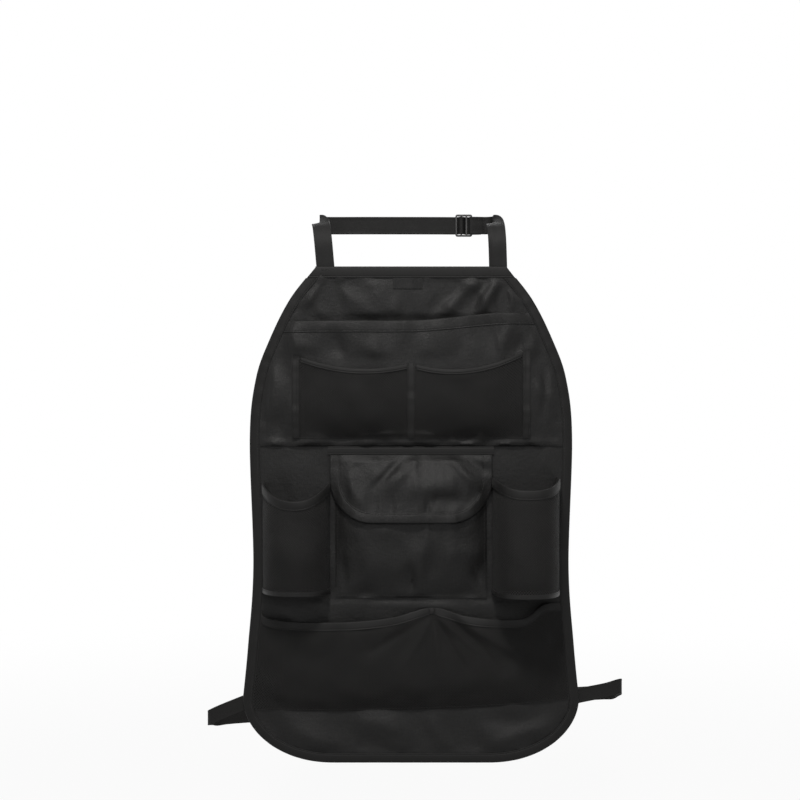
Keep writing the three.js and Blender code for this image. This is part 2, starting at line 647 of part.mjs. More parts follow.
// The slider has three slots. The left strap weaves over its bars. The right one is sewn round its last bar.
function addTopStraps() {
  const pitch = SLIDER_BAR + SLIDER_SLOT;
  const bar = (i) => SLIDER_X + (i - 1.5) * pitch;
  const upright = ([x, y]) => [x, CROSS_Y + y, STRAP_Z, 1];
  const woven = weave([bar(0), bar(1), bar(2)], [1, -1, 1], STRAP_THICK);
  const aside = woven[0][1];
  const tail = [
    [mix(bar(2), bar(3), 0.8), aside + STRAP_THICK],
    [bar(3), aside + 2 * STRAP_THICK],
    [bar(3) + STRAP_TAIL, aside + STRAP_THICK],
  ];
  addStrap("strap_top_left", WEBBING, STRAP_WIDE, STRAP_THICK, [
    ...strapToWrap(LEFT_STRAP_X, LEFT_WRAP_X),
    upright([mix(LEFT_WRAP_X, SLIDER_X, 0.3), 0]),
    upright([mix(LEFT_WRAP_X, SLIDER_X, 0.8), aside / 2]),
    ...woven.map(upright),
    ...tail.map(upright),
  ]);
  const looped = roundBar(bar(3), 1, SLIDER_BAR / 2, SLIDER_THICK / 2, STRAP_THICK).reverse();
  addStrap("strap_top_right", WEBBING, STRAP_WIDE, STRAP_THICK, [
    ...strapToWrap(RIGHT_STRAP_X, RIGHT_WRAP_X),
    ...looped.slice(1, -1).map(upright),
  ]);
  addSlider("top_slider", STRAP_WIDE, 3, organizer).position.set(SLIDER_X, CROSS_Y, STRAP_Z);
}

// A flat plastic slider with upright slots side by side
function addSlider(name, strapWide, slots, parent) {
  const pitch = SLIDER_BAR + SLIDER_SLOT;
  const open = strapWide / 2 + 2 * GAP;
  const frame = roundedRectangle(slots * pitch + SLIDER_BAR, 2 * (open + SLIDER_EDGE), SLIDER_EDGE);
  let body = slab(frame, SLIDER_THICK);
  for (let i = 0; i < slots; i++) {
    const x = (i - (slots - 1) / 2) * pitch;
    const half = SLIDER_SLOT / 2;
    body = body.subtract(block(x - half, x + half, -SLIDER_THICK, SLIDER_THICK, -open, open));
  }
  return addMesh(name, PLASTIC, toGeometry(body), parent);
}

function roundedRectangle(wide, high, round) {
  const [w, h] = [wide / 2 - round, high / 2 - round];
  const corners = [[w, -h], [w, h], [-w, h], [-w, -h]];
  return new THREE.Shape(corners.flatMap(([x, y], i) => steps(i - 1, i, 3).map((quarter) => {
    const angle = (quarter * Math.PI) / 2;
    return new THREE.Vector2(x + round * Math.cos(angle), y + round * Math.sin(angle));
  })));
}

// Joins and cuts of closed meshes
function toManifold(geometry) {
  const bare = geometry.clone();
  bare.deleteAttribute("normal");
  bare.deleteAttribute("uv");
  const merged = mergeVertices(bare, 1e-4);
  return new wasm.Manifold(new wasm.Mesh({
    numProp: 3,
    vertProperties: merged.attributes.position.array,
    triVerts: new Uint32Array(merged.index.array),
  }));
}

function toGeometry(manifold) {
  const mesh = manifold.getMesh();
  const geometry = new THREE.BufferGeometry();
  geometry.setAttribute("position", new THREE.BufferAttribute(mesh.vertProperties, 3));
  geometry.setIndex(new THREE.BufferAttribute(mesh.triVerts, 1));
  geometry.computeVertexNormals();
  return geometry;
}

function block(x0, x1, y0, y1, z0, z1) {
  return toManifold(new THREE.BoxGeometry(x1 - x0, y1 - y0, z1 - z0)
    .translate((x0 + x1) / 2, (y0 + y1) / 2, (z0 + z1) / 2));
}

function slab(shape, thick) {
  const geometry = new THREE.ExtrudeGeometry(shape, { depth: thick, bevelEnabled: false, curveSegments: 3 });
  return toManifold(geometry.translate(0, 0, -thick / 2).rotateX(Math.PI / 2));
}

// The side release buckle's own frame has its length along X, and the prong enters from the right.
function addBuckle(parent) {
  const [long, high, thick] = [BUCKLE_LONG / 2, BUCKLE_HIGH / 2, BUCKLE_THICK / 2];
  const cavity = thick - BUCKLE_WALL;
  const inside = high - BUCKLE_WALL;
  const tailSlot = -long + BUCKLE_BAR;
  const strapRoom = BELT_WIDE / 2 + 2 * GAP;
  const wall = -long + BUCKLE_TAIL;
  const windowEnd = WINDOW_X + WINDOW_LONG;
  const socket = slab(roundedRectangle(BUCKLE_LONG, BUCKLE_HIGH, BUCKLE_ROUND), BUCKLE_THICK)
    .subtract(block(wall, long + 1, -cavity, cavity, -inside, inside))
    .subtract(block(tailSlot, tailSlot + BUCKLE_SLOT, -thick - 1, thick + 1, -strapRoom, strapRoom))
    .subtract(block(WINDOW_X, windowEnd, -cavity, cavity, -high - 1, high + 1))
    .subtract(block(-long - 1, tailSlot + 1, BAR_THICK / 2, thick + 1, -strapRoom, strapRoom))
    .subtract(block(-long - 1, tailSlot + 1, -thick - 1, -BAR_THICK / 2, -strapRoom, strapRoom));
  addMesh("buckle_socket", PLASTIC, toGeometry(socket), parent);

  const start = long + GAP;
  const tail = start + BUCKLE_TAIL;
  const armZ = inside - GAP - ARM_THICK;
  const slotEnd = tail - BUCKLE_BAR;
  const flangeOutline = roundedRectangle(BUCKLE_TAIL, BUCKLE_HIGH, BUCKLE_ROUND - 1);
  const flange = slab(flangeOutline, BUCKLE_THICK - BUCKLE_WALL).translate([(start + tail) / 2, 0, 0]);
  const reach = cavity - GAP;
  let prong = flange
    .subtract(block(slotEnd - BUCKLE_SLOT, slotEnd, -thick, thick, -strapRoom, strapRoom))
    .subtract(block(slotEnd - 1, tail + 1, BAR_THICK / 2, thick, -strapRoom, strapRoom))
    .subtract(block(slotEnd - 1, tail + 1, -thick, -BAR_THICK / 2, -strapRoom, strapRoom))
    .add(block(start - ARM_LONG, start + 1, -reach, reach, armZ, armZ + ARM_THICK))
    .add(block(start - ARM_LONG, start + 1, -reach, reach, -armZ - ARM_THICK, -armZ))
    .add(block(start - ARM_LONG + 2, start + 1, -reach, reach, -TONGUE_HALF, TONGUE_HALF));
  for (const side of [-1, 1]) {
    const [near, far] = [side * armZ, side * (high - GAP)];
    prong = prong.add(block(WINDOW_X + GAP, windowEnd - GAP, -reach, reach,
      Math.min(near, far), Math.max(near, far)));
  }
  addMesh("buckle_prong", PLASTIC, toGeometry(prong), parent);
  return { left: -long + BUCKLE_BAR / 2, right: tail - BUCKLE_BAR / 2 };
}

// The belts leave the panel's lower corners, go back at both sides and meet at the rear.
function farZ(x) {
  return mix(LEFT_FAR_Z, RIGHT_FAR_Z, (x - LEFT_SIDE_X) / (RIGHT_SIDE_X - LEFT_SIDE_X));
}

function beltRoute(side, seamZ, sideX, sideZ, cornerZ) {
  const behind = (x) => flank(x) + GAP + TAPE_THICK + GAP + BELT_THICK / 2;
  const edge = halfWidth(seamZ);
  const sewn = edge - BELT_SEWN;
  const slope = (sideZ - seamZ) / (Math.abs(sideX) - edge);
  return [
    [side * sewn, behind(sewn), seamZ - slope * BELT_SEWN, 1],
    [side * (edge - BELT_SEWN / 3), behind(edge - BELT_SEWN / 3), seamZ - (slope * BELT_SEWN) / 3, 1],
    [side * (edge + 6), behind(edge + 6), seamZ + slope * 6, 1],
    [mix(side * edge, sideX, 0.65), behind(edge) + BELT_LEAD / 4, mix(seamZ, sideZ, 0.65), 1],
    [mix(side * edge, sideX, 0.93), behind(edge) + BELT_LEAD / 2, sideZ, 1],
    [sideX, behind(edge) + BELT_LEAD, mix(sideZ, cornerZ, 0.15), 1],
    [sideX, mix(behind(edge) + BELT_LEAD, BELT_FAR_Y - BELT_TURN, 0.5), mix(sideZ, cornerZ, 0.5), 1],
    [sideX, BELT_FAR_Y - BELT_TURN, mix(sideZ, cornerZ, 0.85), 1],
    [sideX - side * 4, BELT_FAR_Y - 4, cornerZ, 1],
    [sideX - side * BELT_TURN, BELT_FAR_Y, farZ(sideX - side * BELT_TURN), 1],
  ];
}

function addBelts() {
  const buckle = new THREE.Group();
  const tilt = Math.atan2(RIGHT_FAR_Z - LEFT_FAR_Z, RIGHT_SIDE_X - LEFT_SIDE_X);
  buckle.position.set(BUCKLE_X, BELT_FAR_Y, farZ(BUCKLE_X));
  buckle.rotation.y = -tilt;
  organizer.add(buckle);
  const bars = addBuckle(buckle);
  const onFarSide = ([x, y]) => [x, BELT_FAR_Y + y, farZ(x), 1];

  addStrap("belt_left", ELASTIC, BELT_WIDE, BELT_THICK, [
    ...beltRoute(-1, LEFT_BELT_Z, LEFT_SIDE_X, LEFT_SIDE_Z, LEFT_FAR_Z),
    [LEFT_SIDE_X / 2, BELT_FAR_Y, farZ(LEFT_SIDE_X / 2), 1],
    ...roundBar(BUCKLE_X + bars.left, -1, BUCKLE_BAR / 2, BAR_THICK / 2, BELT_THICK).map(onFarSide),
  ]);

  const slider = addSlider("belt_slider", BELT_WIDE, 2, organizer);
  slider.position.set(BELT_SLIDER_X, BELT_FAR_Y, farZ(BELT_SLIDER_X));
  slider.rotation.y = -tilt;
  const pitch = SLIDER_BAR + SLIDER_SLOT;
  const sliderBars = [BELT_SLIDER_X + pitch, BELT_SLIDER_X, BELT_SLIDER_X - pitch];
  addStrap("belt_right", ELASTIC, BELT_WIDE, BELT_THICK, [
    ...beltRoute(1, RIGHT_BELT_Z, RIGHT_SIDE_X, RIGHT_SIDE_Z, RIGHT_FAR_Z),
    ...weave(sliderBars, [1, -1, 1], BELT_THICK).map(onFarSide),
    ...roundBar(BUCKLE_X + bars.right, 1, BUCKLE_BAR / 2, BAR_THICK / 2, BELT_THICK).map(onFarSide),
  ]);
}

addPanel();
addEdgeBinding();
addTopBinding();
addLabel();
addUpperPocket();
addUpperNet(-1, "left");
addUpperNet(1, "right");
addNetTapes();
addFlapPocket();
addFlap();
addSidePockets();
addLowerPocket();
addTopStraps();
addBelts();

export default organizer;
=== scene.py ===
"""Looks of a car seat back organizer: cloth, open nets, bound edges, webbing, elastic belts and buckles.

Sizes in the code are millimetres. A place on the organizer is x, z and depth, which counts forward from the
panel's rear face.
"""
import math
from collections import namedtuple

import bpy
import numpy as np
from bpy.props import FloatProperty, FloatVectorProperty, PointerProperty
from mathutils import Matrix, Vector


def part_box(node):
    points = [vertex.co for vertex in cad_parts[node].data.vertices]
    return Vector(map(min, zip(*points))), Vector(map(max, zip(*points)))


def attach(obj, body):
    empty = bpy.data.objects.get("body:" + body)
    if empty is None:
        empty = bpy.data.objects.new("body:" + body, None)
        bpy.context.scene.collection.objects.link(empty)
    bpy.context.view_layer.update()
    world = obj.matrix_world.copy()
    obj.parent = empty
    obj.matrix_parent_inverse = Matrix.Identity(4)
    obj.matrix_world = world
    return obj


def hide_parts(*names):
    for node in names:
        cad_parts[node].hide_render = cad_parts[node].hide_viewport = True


bl_info = {
    "name": "Car Seat Back Organizer",
    "version": (1, 0, 0),
    "blender": (4, 5, 0),
    "location": "View3D > Sidebar > Organizer",
    "description": "Makes the cloth, nets, tapes, straps and buckles of a car seat back organizer",
    "category": "Object",
}

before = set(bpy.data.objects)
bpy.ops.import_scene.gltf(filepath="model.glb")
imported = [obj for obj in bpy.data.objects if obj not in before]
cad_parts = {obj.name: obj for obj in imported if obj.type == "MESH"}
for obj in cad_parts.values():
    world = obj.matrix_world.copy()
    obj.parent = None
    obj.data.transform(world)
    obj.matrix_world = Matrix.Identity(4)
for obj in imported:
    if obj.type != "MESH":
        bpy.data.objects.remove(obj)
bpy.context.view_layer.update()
bpy.ops.object.select_all(action="DESELECT")

MM = 0.001


def low(node):
    """The least x, y and z of a node, in millimetres."""
    return np.array(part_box(node)[0]) / MM


def high(node):
    """The greatest x, y and z of a node, in millimetres."""
    return np.array(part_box(node)[1]) / MM


# Clearances, thicknesses, the depth of the first layer on the panel and the step of the finest cloth meshes
GAP = 0.3
LAYER_GAP = 0.5
TAPE = 1.0
CLOTH = 1.0
NET = 0.8
PANEL = 2.0
LABEL = 0.45
FIRST_LAYER = PANEL + GAP
FINE_STEP = 2.4

# Back panel and its bindings. The side points are half widths and heights, from the top down
PANEL_TOP = high("back_panel")[2]
PANEL_BOTTOM = low("back_panel")[2]
CHEST_HALF = 195.5
WAIST_HALF = 191
HIP_HALF, HIP_Z = 204, -226
SIDE_POINTS = [(115, 300), (145.8, 261.28), (171, 212), (188.15, 163.6), (CHEST_HALF, 91), (WAIST_HALF, -62),
               (197.5, -160.4), (HIP_HALF, HIP_Z)]
CORNER_WIDE = 109
FLAT_HALF = 120
FLANK_SPAN = 84
FLANK_DEPTH = 14
BINDING_WIDE = 10
TOP_BINDING_HIGH = 12

# Heights at which the panel is bare, and below which it is seen through the lower net
BARE_ABOVE = 236
BARE_BELOW = -236
SEEN_THROUGH_BELOW = -104

# Upper pocket and its two nets
UPPER_BOTTOM = low("upper_pocket")[2]
UPPER_TOP = 234
UPPER_LIFT = 10
UPPER_BULGE = 14
UPPER_HEM = 12.5
UPPER_MOUTH = 0.55
ABOVE_NETS = 186
BELOW_NETS = 104
LEAN_FROM = 184
LEAN_HIGH = 50
MOUTH_FROM = 200
NET_OUTER = 139
NET_BOTTOM = low("net_pocket_left")[2]
NET_INNER_TOP = 182.5
NET_BULGE = 8
NET_HEM = 5
SIDE_TAPE_WIDE = 9

# The height of each net's outer top corner, and how far its mouth sags
NET_TOPS = {-1: (192, 11), 1: (199, 14.5)}

# Upright tapes: middle, the side whose net lies under it, and top
UPRIGHTS = {
    "left_tape": (-NET_OUTER - 1, -1, NET_TOPS[-1][0]),
    "centre_tape": (0, 1, NET_INNER_TOP),
    "right_tape": (NET_OUTER + 1, 1, NET_TOPS[1][0]),
}

# Flap pocket
STRIP_HALF = 101
STRIP_HIGH = 10
STRIP_TOP = high("flap_strip")[2]
FLAP_TOP = STRIP_TOP - STRIP_HIGH - GAP
POCKET_HALF = 92
POCKET_BOTTOM = low("flap_pocket")[2]
POCKET_BULGE = 16
POCKET_MOUTH = 5.6
MOUTH_DROP = 8
MOUTH_Z = FLAP_TOP - MOUTH_DROP
FLAP_HALF = 97
FLAP_HIGH = 80
FLAP_BOTTOM = FLAP_TOP - FLAP_HIGH
FLAP_ROUND = 50
FLAP_HEM = 11
FLAP_VALLEY = -2.2
BAG_COVERED_FROM = 8
PATCH_HIGH = 20
PATCH_THICK = 1.2

# Side pockets: middle, half width, depth, rim height and sag, squareness, share of the depth at the base
# and seed of the waves
SidePocket = namedtuple("SidePocket", "middle half deep top sag square share seed")
SIDE_BOTTOM = low("side_base_left")[2]
RIM_HIGH = 10
BASE_THICK = 1
BASE_SEAM = 4.2
BASE_SAG = 1.6
LEFT_INNER = FLAP_HALF + 2 * LAYER_GAP + TAPE
LEFT_OUTER = WAIST_HALF - BINDING_WIDE - 2 * GAP
LEFT_MIDDLE = -(LEFT_OUTER + LEFT_INNER) / 2
LEFT_HALF = (LEFT_OUTER - LEFT_INNER) / 2
SIDE_MIDDLE_Z = -20
WALL_RADIUS = 30
SIDE_POCKETS = {
    "left": SidePocket(LEFT_MIDDLE, LEFT_HALF, 58, 37, 19, 0.85, 0.9, 75),
    "right": SidePocket(139, 40, 78, 44, 12, 0.7, 1.0, 76),
}

# Lower net pocket
LOWER_TOP = -126
LOWER_BOTTOM = -239
LOWER_LIFT = 13
LOWER_BULGE = 18
LOWER_HEM = 9
LOWER_MIDDLE_Z = -180
LOWER_HALF = 190
TACK = 0.14
TACK_REACH = 0.035
TACK_PLEATS = 260

# The lower net's mouth: shares of the half width, and heights over LOWER_TOP
LOWER_EDGE = [(-1, 8), (-0.93, -2), (-0.5, -4.5), (-0.13, 1), (TACK, 12.5), (0.34, 4), (0.56, -0.5),
              (0.74, 1), (0.88, 16.5), (1, 17)]

# Upper straps, their two wraps and the slider between them
STRAP_WIDE = 22
STRAP_THICK = 1.4
STRAP_SEWN = 34
STRAP_TAIL = 12
CREST_Z = 357
CREST_ROUND = 30
WRAP_Y = 62
WRAP_ROUND = 7
LEFT_STRAP_X, RIGHT_STRAP_X = -101.6, 107
LEFT_WRAP_X, RIGHT_WRAP_X = -104, 94.4
SLIDER_X = (low("top_slider")[0] + high("top_slider")[0]) / 2
SLIDER_BAR = 2
SLIDER_SLOT = 4.4
SLIDER_THICK = 2
STRAP_Z = CREST_Z + 2
STRAP_BEHIND = GAP + TAPE + GAP + STRAP_THICK / 2
WRAP_REACH = WRAP_ROUND + GAP + STRAP_THICK / 2 + 1
CROSS_Y = WRAP_Y + WRAP_REACH

# Elastic belts and their buckle
BELT_WIDE = 18
BELT_THICK = 1.2
BELT_SEWN = 18
BELT_FAR_Y = 125
BELT_TURN = 15
BELT_LEAD = 28
FOLDED_END = 24
Belt = namedtuple("Belt", "side seam_z side_x side_z corner_z")
LEFT_BELT = Belt(-1, -232, -252, -253, -272)
RIGHT_BELT = Belt(1, -224, 262, -214, -238)
BUCKLE_X = -8
BUCKLE_LONG = 34
BUCKLE_TAIL = 11
BUCKLE_BAR = 2.6
BAR_THICK = 3.2
BELT_SLIDER_X = 72

# Seams: how far in from a tape's inner edge, how deep in its face, the share of a stitch's pitch that its
# bead takes, how far to each side a stitch's way is read, and the ways that a seam's face looks
SEAM_INSET = 1.6
SEAM_SINK = 0.05
BEAD_SHARE = 0.74
READ_REACH = 0.4
FRONT = (0, -1, 0)
REAR = (0, 1, 0)

# Stage, in metres. The floor fades to white between two distances from its middle
FLOOR_Z = -0.42
FLOOR_SIZE = 40
FLOOR_FADE = (0.6, 2.2)
FLOOR_GLOW = 0.94
WHITE = (1, 1, 1, 1)
WORLD_LIGHT = 0.05
CAMERA_PLACE = (-0.0134, -2.0, 0.1393)
LENS = 73.95
SENSOR = 36

# Lamps: place, target, size, watts and warmth
LAMPS = {
    "key": ((-0.2, -1.45, 1.9), (0, 0, 0.05), 0.4, 56, 0.96),
    "front": ((0.1, -2.3, 0.6), (0, 0, 0), 0.5, 12, 1.0),
    "rear": ((0.4, 1.6, 1.2), (0, 0, 0), 1.2, 16, 1.0),
}

# Folds of the cloth: start, end, width and height, in x and z
PANEL_FOLDS = [
    ((76, 288), (42, 245), 10, 2.6),
    ((60, 290), (26, 250), 9, -1.8),
    ((110, 292), (84, 249), 8, 3.0),
    ((98, 292), (70, 252), 8, -2.0),
    ((112, 268), (112, 252), 9, -2.6),
    ((122, 282), (122, 248), 7, 2.2),
    ((-112, 282), (-134, 250), 10, 2.4),
    ((-92, 288), (-92, 245), 13, -2.2),
    ((-40, 276), (-28, 243), 22, 1.8),
    ((-16, 266), (-18, 242), 10, 1.2),
    ((108, -274), (168, -258), 12, 2.6),
    ((84, -250), (150, -248), 10, -1.6),
    ((-70, -252), (-10, -262), 16, 1.8),
    ((-150, -262), (-96, -280), 14, 1.6),
    ((-30, -276), (-8, -286), 8, 1.4),
    ((20, -250), (52, -286), 12, 1.8),
    ((-58, -276), (-62, -290), 9, -1.4),
    ((70, -268), (84, -290), 9, -1.6),
    ((-40, -106), (60, -112), 9, 1.0),
]
UPPER_FOLDS = [
    ((-146, 224), (-138, 198), 9, 2.4),
    ((-156, 228), (-152, 214), 5, -1.6),
    ((-44, 216), (-40, 190), 12, 2.0),
    ((-90, 218), (-84, 192), 10, -1.4),
    ((16, 220), (20, 194), 12, 1.2),
    ((70, 222), (60, 196), 14, -1.4),
    ((120, 230), (112, 204), 9, 2.2),
    ((151, 216), (146, 196), 8, 2.4),
    ((134, 214), (130, 200), 6, -1.4),
    ((176, 186), (174, 136), 7, 2.4),
    ((154, 160), (160, 142), 7, 1.8),
    ((164, 176), (160, 120), 6, -1.6),
    ((-170, 180), (-172, 120), 7, 1.8),
    ((-154, 150), (-160, 100), 8, -1.4),
    ((-74, 98), (-14, 104), 8, 1.8),
    ((16, 98), (48, 98), 7, 1.6),
    ((60, 104), (120, 96), 9, 1.4),
]
FLAP_FOLDS = [
    ((-10, 70), (-44, 34), 4.2, -3.2),
    ((-70, 62), (-50, 40), 14, -1.6),
    ((4, 64), (-30, 30), 8, 1.4),
    ((-4, 32), (56, 34), 17, 3.4),
    ((50, 66), (82, 32), 7, 2.4),
    ((24, 20), (56, 18), 9, -2.6),
    ((66, 70), (92, 52), 5, -1.8),
    ((19, 16), (20, 4), 3.2, -1.6),
    ((-22, 20), (-24, 0), 6, -1.0),
    ((-74, 40), (-60, 12), 8, 1.4),
    ((84, 22), (64, 2), 6, 1.2),
]
BAG_FOLDS = [
    ((-2, -62), (1, -92), 4.5, -3.0),
    ((8, -60), (10, -90), 6, 1.6),
    ((24, 2), (26, -24), 5, -2.2),
    ((-20, -4), (-24, -30), 6, -1.2),
    ((50, -10), (46, -60), 12, 1.4),
    ((-58, -20), (-50, -80), 12, 1.6),
    ((76, -66), (90, -96), 6, -1.6),
    ((14, -40), (10, -84), 10, 1.2),
    ((-84, -40), (-80, -92), 6, -1.4),
]
LOWER_FOLDS = [
    ((32, -124), (86, -168), 6, 2.6),
    ((30, -128), (64, -182), 6, -2.2),
    ((28, -126), (34, -190), 6, 2.0),
    ((24, -126), (-8, -180), 7, 2.0),
    ((22, -124), (-48, -164), 7, -1.8),
    ((60, -128), (134, -172), 8, 2.2),
    ((50, -126), (110, -188), 8, -2.0),
    ((150, -118), (124, -160), 8, 2.4),
    ((172, -120), (178, -200), 7, -2.0),
    ((160, -150), (150, -218), 9, 1.8),
    ((-150, -140), (-160, -220), 9, 1.8),
    ((-90, -140), (-100, -215), 12, -1.6),
    ((-176, -140), (-184, -200), 6, -1.6),
]


def mix(a, b, t):
    """From a at 0 to b at 1."""
    return a + (b - a) * t


def smooth(t):
    """An eased rise from 0 at 0 to 1 at 1, level beyond them."""
    s = np.clip(t, 0, 1)
    return s * s * (3 - 2 * s)


def spline(points, t):
    """A smooth curve through the points, at shares t of the whole."""
    p = np.asarray(points, float)
    last = len(p) - 1
    at = np.clip(np.asarray(t, float), 0, 1) * last
    i = np.minimum(at.astype(int), last - 1)
    w = (at - i)[..., None]
    before, a, b, after = p[np.maximum(i - 1, 0)], p[i], p[i + 1], p[np.minimum(i + 2, last)]
    start, end = (b - before) / 2, (after - a) / 2
    return (2 * a - 2 * b + start + end) * w ** 3 + (3 * b - 3 * a - 2 * start - end) * w ** 2 + start * w + a


def pouch(t, mouth):
    """How far a pouch stands out, from its bottom seam at 0 to its mouth at 1."""
    full = 0.4
    t = np.clip(t, 0, 1)
    above = 1 - (1 - mouth) * np.clip((t - full) / (1 - full), 0, 1) ** 2
    return np.where(t < full, np.sin(math.pi / 2 * np.minimum(t, full) / full), above)


def waves(x, z, seed, length, count=14):
    """A smooth, seeded, wavy field of about unit height."""
    draw = np.random.default_rng(seed)
    turn, phase = draw.uniform(0, 2 * math.pi, (2, count))
    size = length * draw.uniform(0.7, 1.7, count)
    total = 0
    for a, p, s in zip(turn, phase, size):
        total = total + np.sin(2 * math.pi * (x * math.cos(a) + z * math.sin(a)) / s + p)
    return total / math.sqrt(count / 2)


def crumple(x, z, seed, length):
    """Soft dents between sharper crest lines, of about unit height."""
    return 1 - np.sqrt(waves(x, z, seed, length, 7) ** 2 + 0.05) * 1.3


def folds(x, z, rows, strength=1.0):
    """Ridges and valleys along short lines that fade at their ends."""
    total = 0
    for (x0, z0), (x1, z1), width, height in rows:
        dx, dz = x1 - x0, z1 - z0
        along = ((x - x0) * dx + (z - z0) * dz) / (dx * dx + dz * dz)
        nearest = np.clip(along, 0, 1)
        away = np.hypot(x - x0 - nearest * dx, z - z0 - nearest * dz)
        fade = 1 - 0.5 * np.abs(2 * nearest - 1) ** 3
        total = total + height * fade * np.exp(-(away / width) ** 2 * 1.6)
    return strength * total


def ripple(along, seed, length, height, count=14):
    """Waves along a line, of about a height."""
    return height * waves(along, 0 * along, seed, length, count)


def pucker(away, along, seed, pitch, reach, height):
    """Short ripples square to a seam, which fade away from it."""
    return ripple(along, seed, pitch, height, 8) * np.exp(-(np.abs(away) / reach) ** 1.5)


def shallow(relief, deepest):
    """Relief whose ridges stay as they are, and whose valleys ease off towards a depth."""
    return np.where(relief > 0, relief, deepest * np.tanh(relief / deepest))


def side_edge():
    """The panel's right edge from the top down and round its lower corner."""
    side = spline(SIDE_POINTS, np.linspace(0, 1, 90))
    turn = np.linspace(0, math.pi / 2, 40)[1:]
    corner = np.stack([HIP_HALF - CORNER_WIDE * (1 - np.cos(turn)),
                       HIP_Z - (HIP_Z - PANEL_BOTTOM) * np.sin(turn)], -1)
    return np.vstack([side, corner])


SIDE_EDGE = side_edge()


def half_width(z):
    """Half the panel's width at a height."""
    return np.interp(z, SIDE_EDGE[::-1, 1], SIDE_EDGE[::-1, 0])


def inner_half(z):
    """Half the width between the side bindings."""
    slope = (half_width(z + 5) - half_width(z - 5)) / 10
    return half_width(z) - (BINDING_WIDE + LAYER_GAP) * np.hypot(1, slope)


def flank(x):
    """How far the panel's flanks bend back."""
    return FLANK_DEPTH * (np.maximum(0, np.abs(x) - FLAT_HALF) / FLANK_SPAN) ** 2


def over(x, z, depth):
    """Points in space, for places over the panel and depths in front of its rear face."""
    x, z, depth = np.broadcast_arrays(np.asarray(x, float), z, depth)
    return np.stack([x, flank(x) - depth, z], -1)


def panel_relief(x, z):
    """Folds and swell of the panel, calm at its bindings and low where pockets cover it."""
    edge = half_width(z) - BINDING_WIDE - np.abs(x)
    below_top = PANEL_TOP - TOP_BINDING_HIGH - z
    calm = smooth(edge / 16) * smooth(below_top / 10) * smooth((z - PANEL_BOTTOM - 11) / 10)
    bare = np.maximum(smooth((z - BARE_ABOVE) / 10), smooth((BARE_BELOW - z) / 8))
    shown = np.maximum(bare, smooth((SEEN_THROUGH_BELOW - z) / 5) * 0.6)
    swell = waves(x, z, seed=11, length=80) + 1.2 * crumple(x, 0.6 * z + 0.5 * x, seed=12, length=62)
    seams = (pucker(below_top, x, seed=13, pitch=17, reach=12, height=0.5)
             + pucker(edge, z, seed=14, pitch=15, reach=10, height=0.45))
    relief = (folds(x, z, PANEL_FOLDS, 1.7) + swell) * calm * shown + seams * shown * smooth(edge / 3)
    covered = 0.8 * (np.tanh(1.3 * waves(x, z, seed=15, length=80)) - 1) * smooth(edge / 30) * (1 - shown)
    return 0.6 * calm * shown + shallow(relief, 1.8) + covered


def upper_top(x):
    """The height of the upper pocket's mouth."""
    return UPPER_TOP + UPPER_LIFT * smooth((x + 10) / CHEST_HALF * 1.4)


def upper_front(x, z):
    """The upper pocket's front face without its relief."""
    t = (z - UPPER_BOTTOM) / (UPPER_TOP - UPPER_BOTTOM)
    across = np.minimum(1, np.abs(x) / inner_half(z))
    stand = UPPER_BULGE * (1 - across ** 2.5) * pouch(t, UPPER_MOUTH)
    return FIRST_LAYER + CLOTH + stand


def upper_relief(x, z):
    """The upper pocket's folds and swell, strongest round its nets, with its low roll and leaning mouth."""
    edge = inner_half(z) - np.abs(x)
    up = z - UPPER_BOTTOM
    beside = smooth((np.abs(x) - NET_OUTER + 12) / 10)
    shown = np.maximum(smooth((z - ABOVE_NETS) / 14), np.maximum(beside, smooth((BELOW_NETS - z) / 6)))
    calm = smooth(edge / 12) * smooth(up / 6)
    swell = 0.9 * waves(x, z, seed=21, length=66) + 1.2 * crumple(x, 0.6 * z + 0.4 * x, seed=22, length=54)
    body = (folds(x, z, UPPER_FOLDS, 1.6) + swell) * calm * (0.25 + 0.75 * shown)
    seams = (pucker(up, x, seed=23, pitch=14, reach=9, height=0.6)
             + pucker(edge, z, seed=24, pitch=15, reach=9, height=0.5))
    low_roll = smooth(up / 5) * smooth((NET_BOTTOM + 1 - z) / 9)
    seams = seams + low_roll * (3.0 + ripple(x, seed=26, length=30, height=0.9))
    mouth = ripple(x, seed=25, length=60, height=0.8) * smooth((z - MOUTH_FROM) / 30)
    lean = 4.2 * smooth((z - LEAN_FROM) / LEAN_HIGH) * smooth(edge / 40)
    return body + (seams + mouth + lean) * smooth(edge / 8)


def upper_skin(x, z):
    """The upper pocket's front face."""
    return upper_front(x, z) + upper_relief(x, z)


def net_top(side, u):
    """The height of an upper net's mouth, at shares of the way from the middle to its outer side."""
    outer, sag = NET_TOPS[side]
    return mix(NET_INNER_TOP, outer, u) - sag * 4 * u * (1 - u)


def net_front(side, x, z):
    """An upper net's front face, loose over the pocket and never within it."""
    u = np.minimum(1, np.abs(x) / NET_OUTER)
    t = (z - NET_BOTTOM) / (net_top(side, u) - NET_BOTTOM)
    out = NET_BULGE * (1 - (2 * u - 1) ** 2) * pouch(t, 0.9)
    slack = (0.7 * waves(x, z, 31 + side, 42) + folds(x, z, UPPER_FOLDS, 0.5)) * np.sin(math.pi * u)
    loose = upper_front(x, z) + LAYER_GAP + NET + out + slack * smooth(t * 4)
    return np.maximum(loose, upper_skin(x, z) + LAYER_GAP + NET)


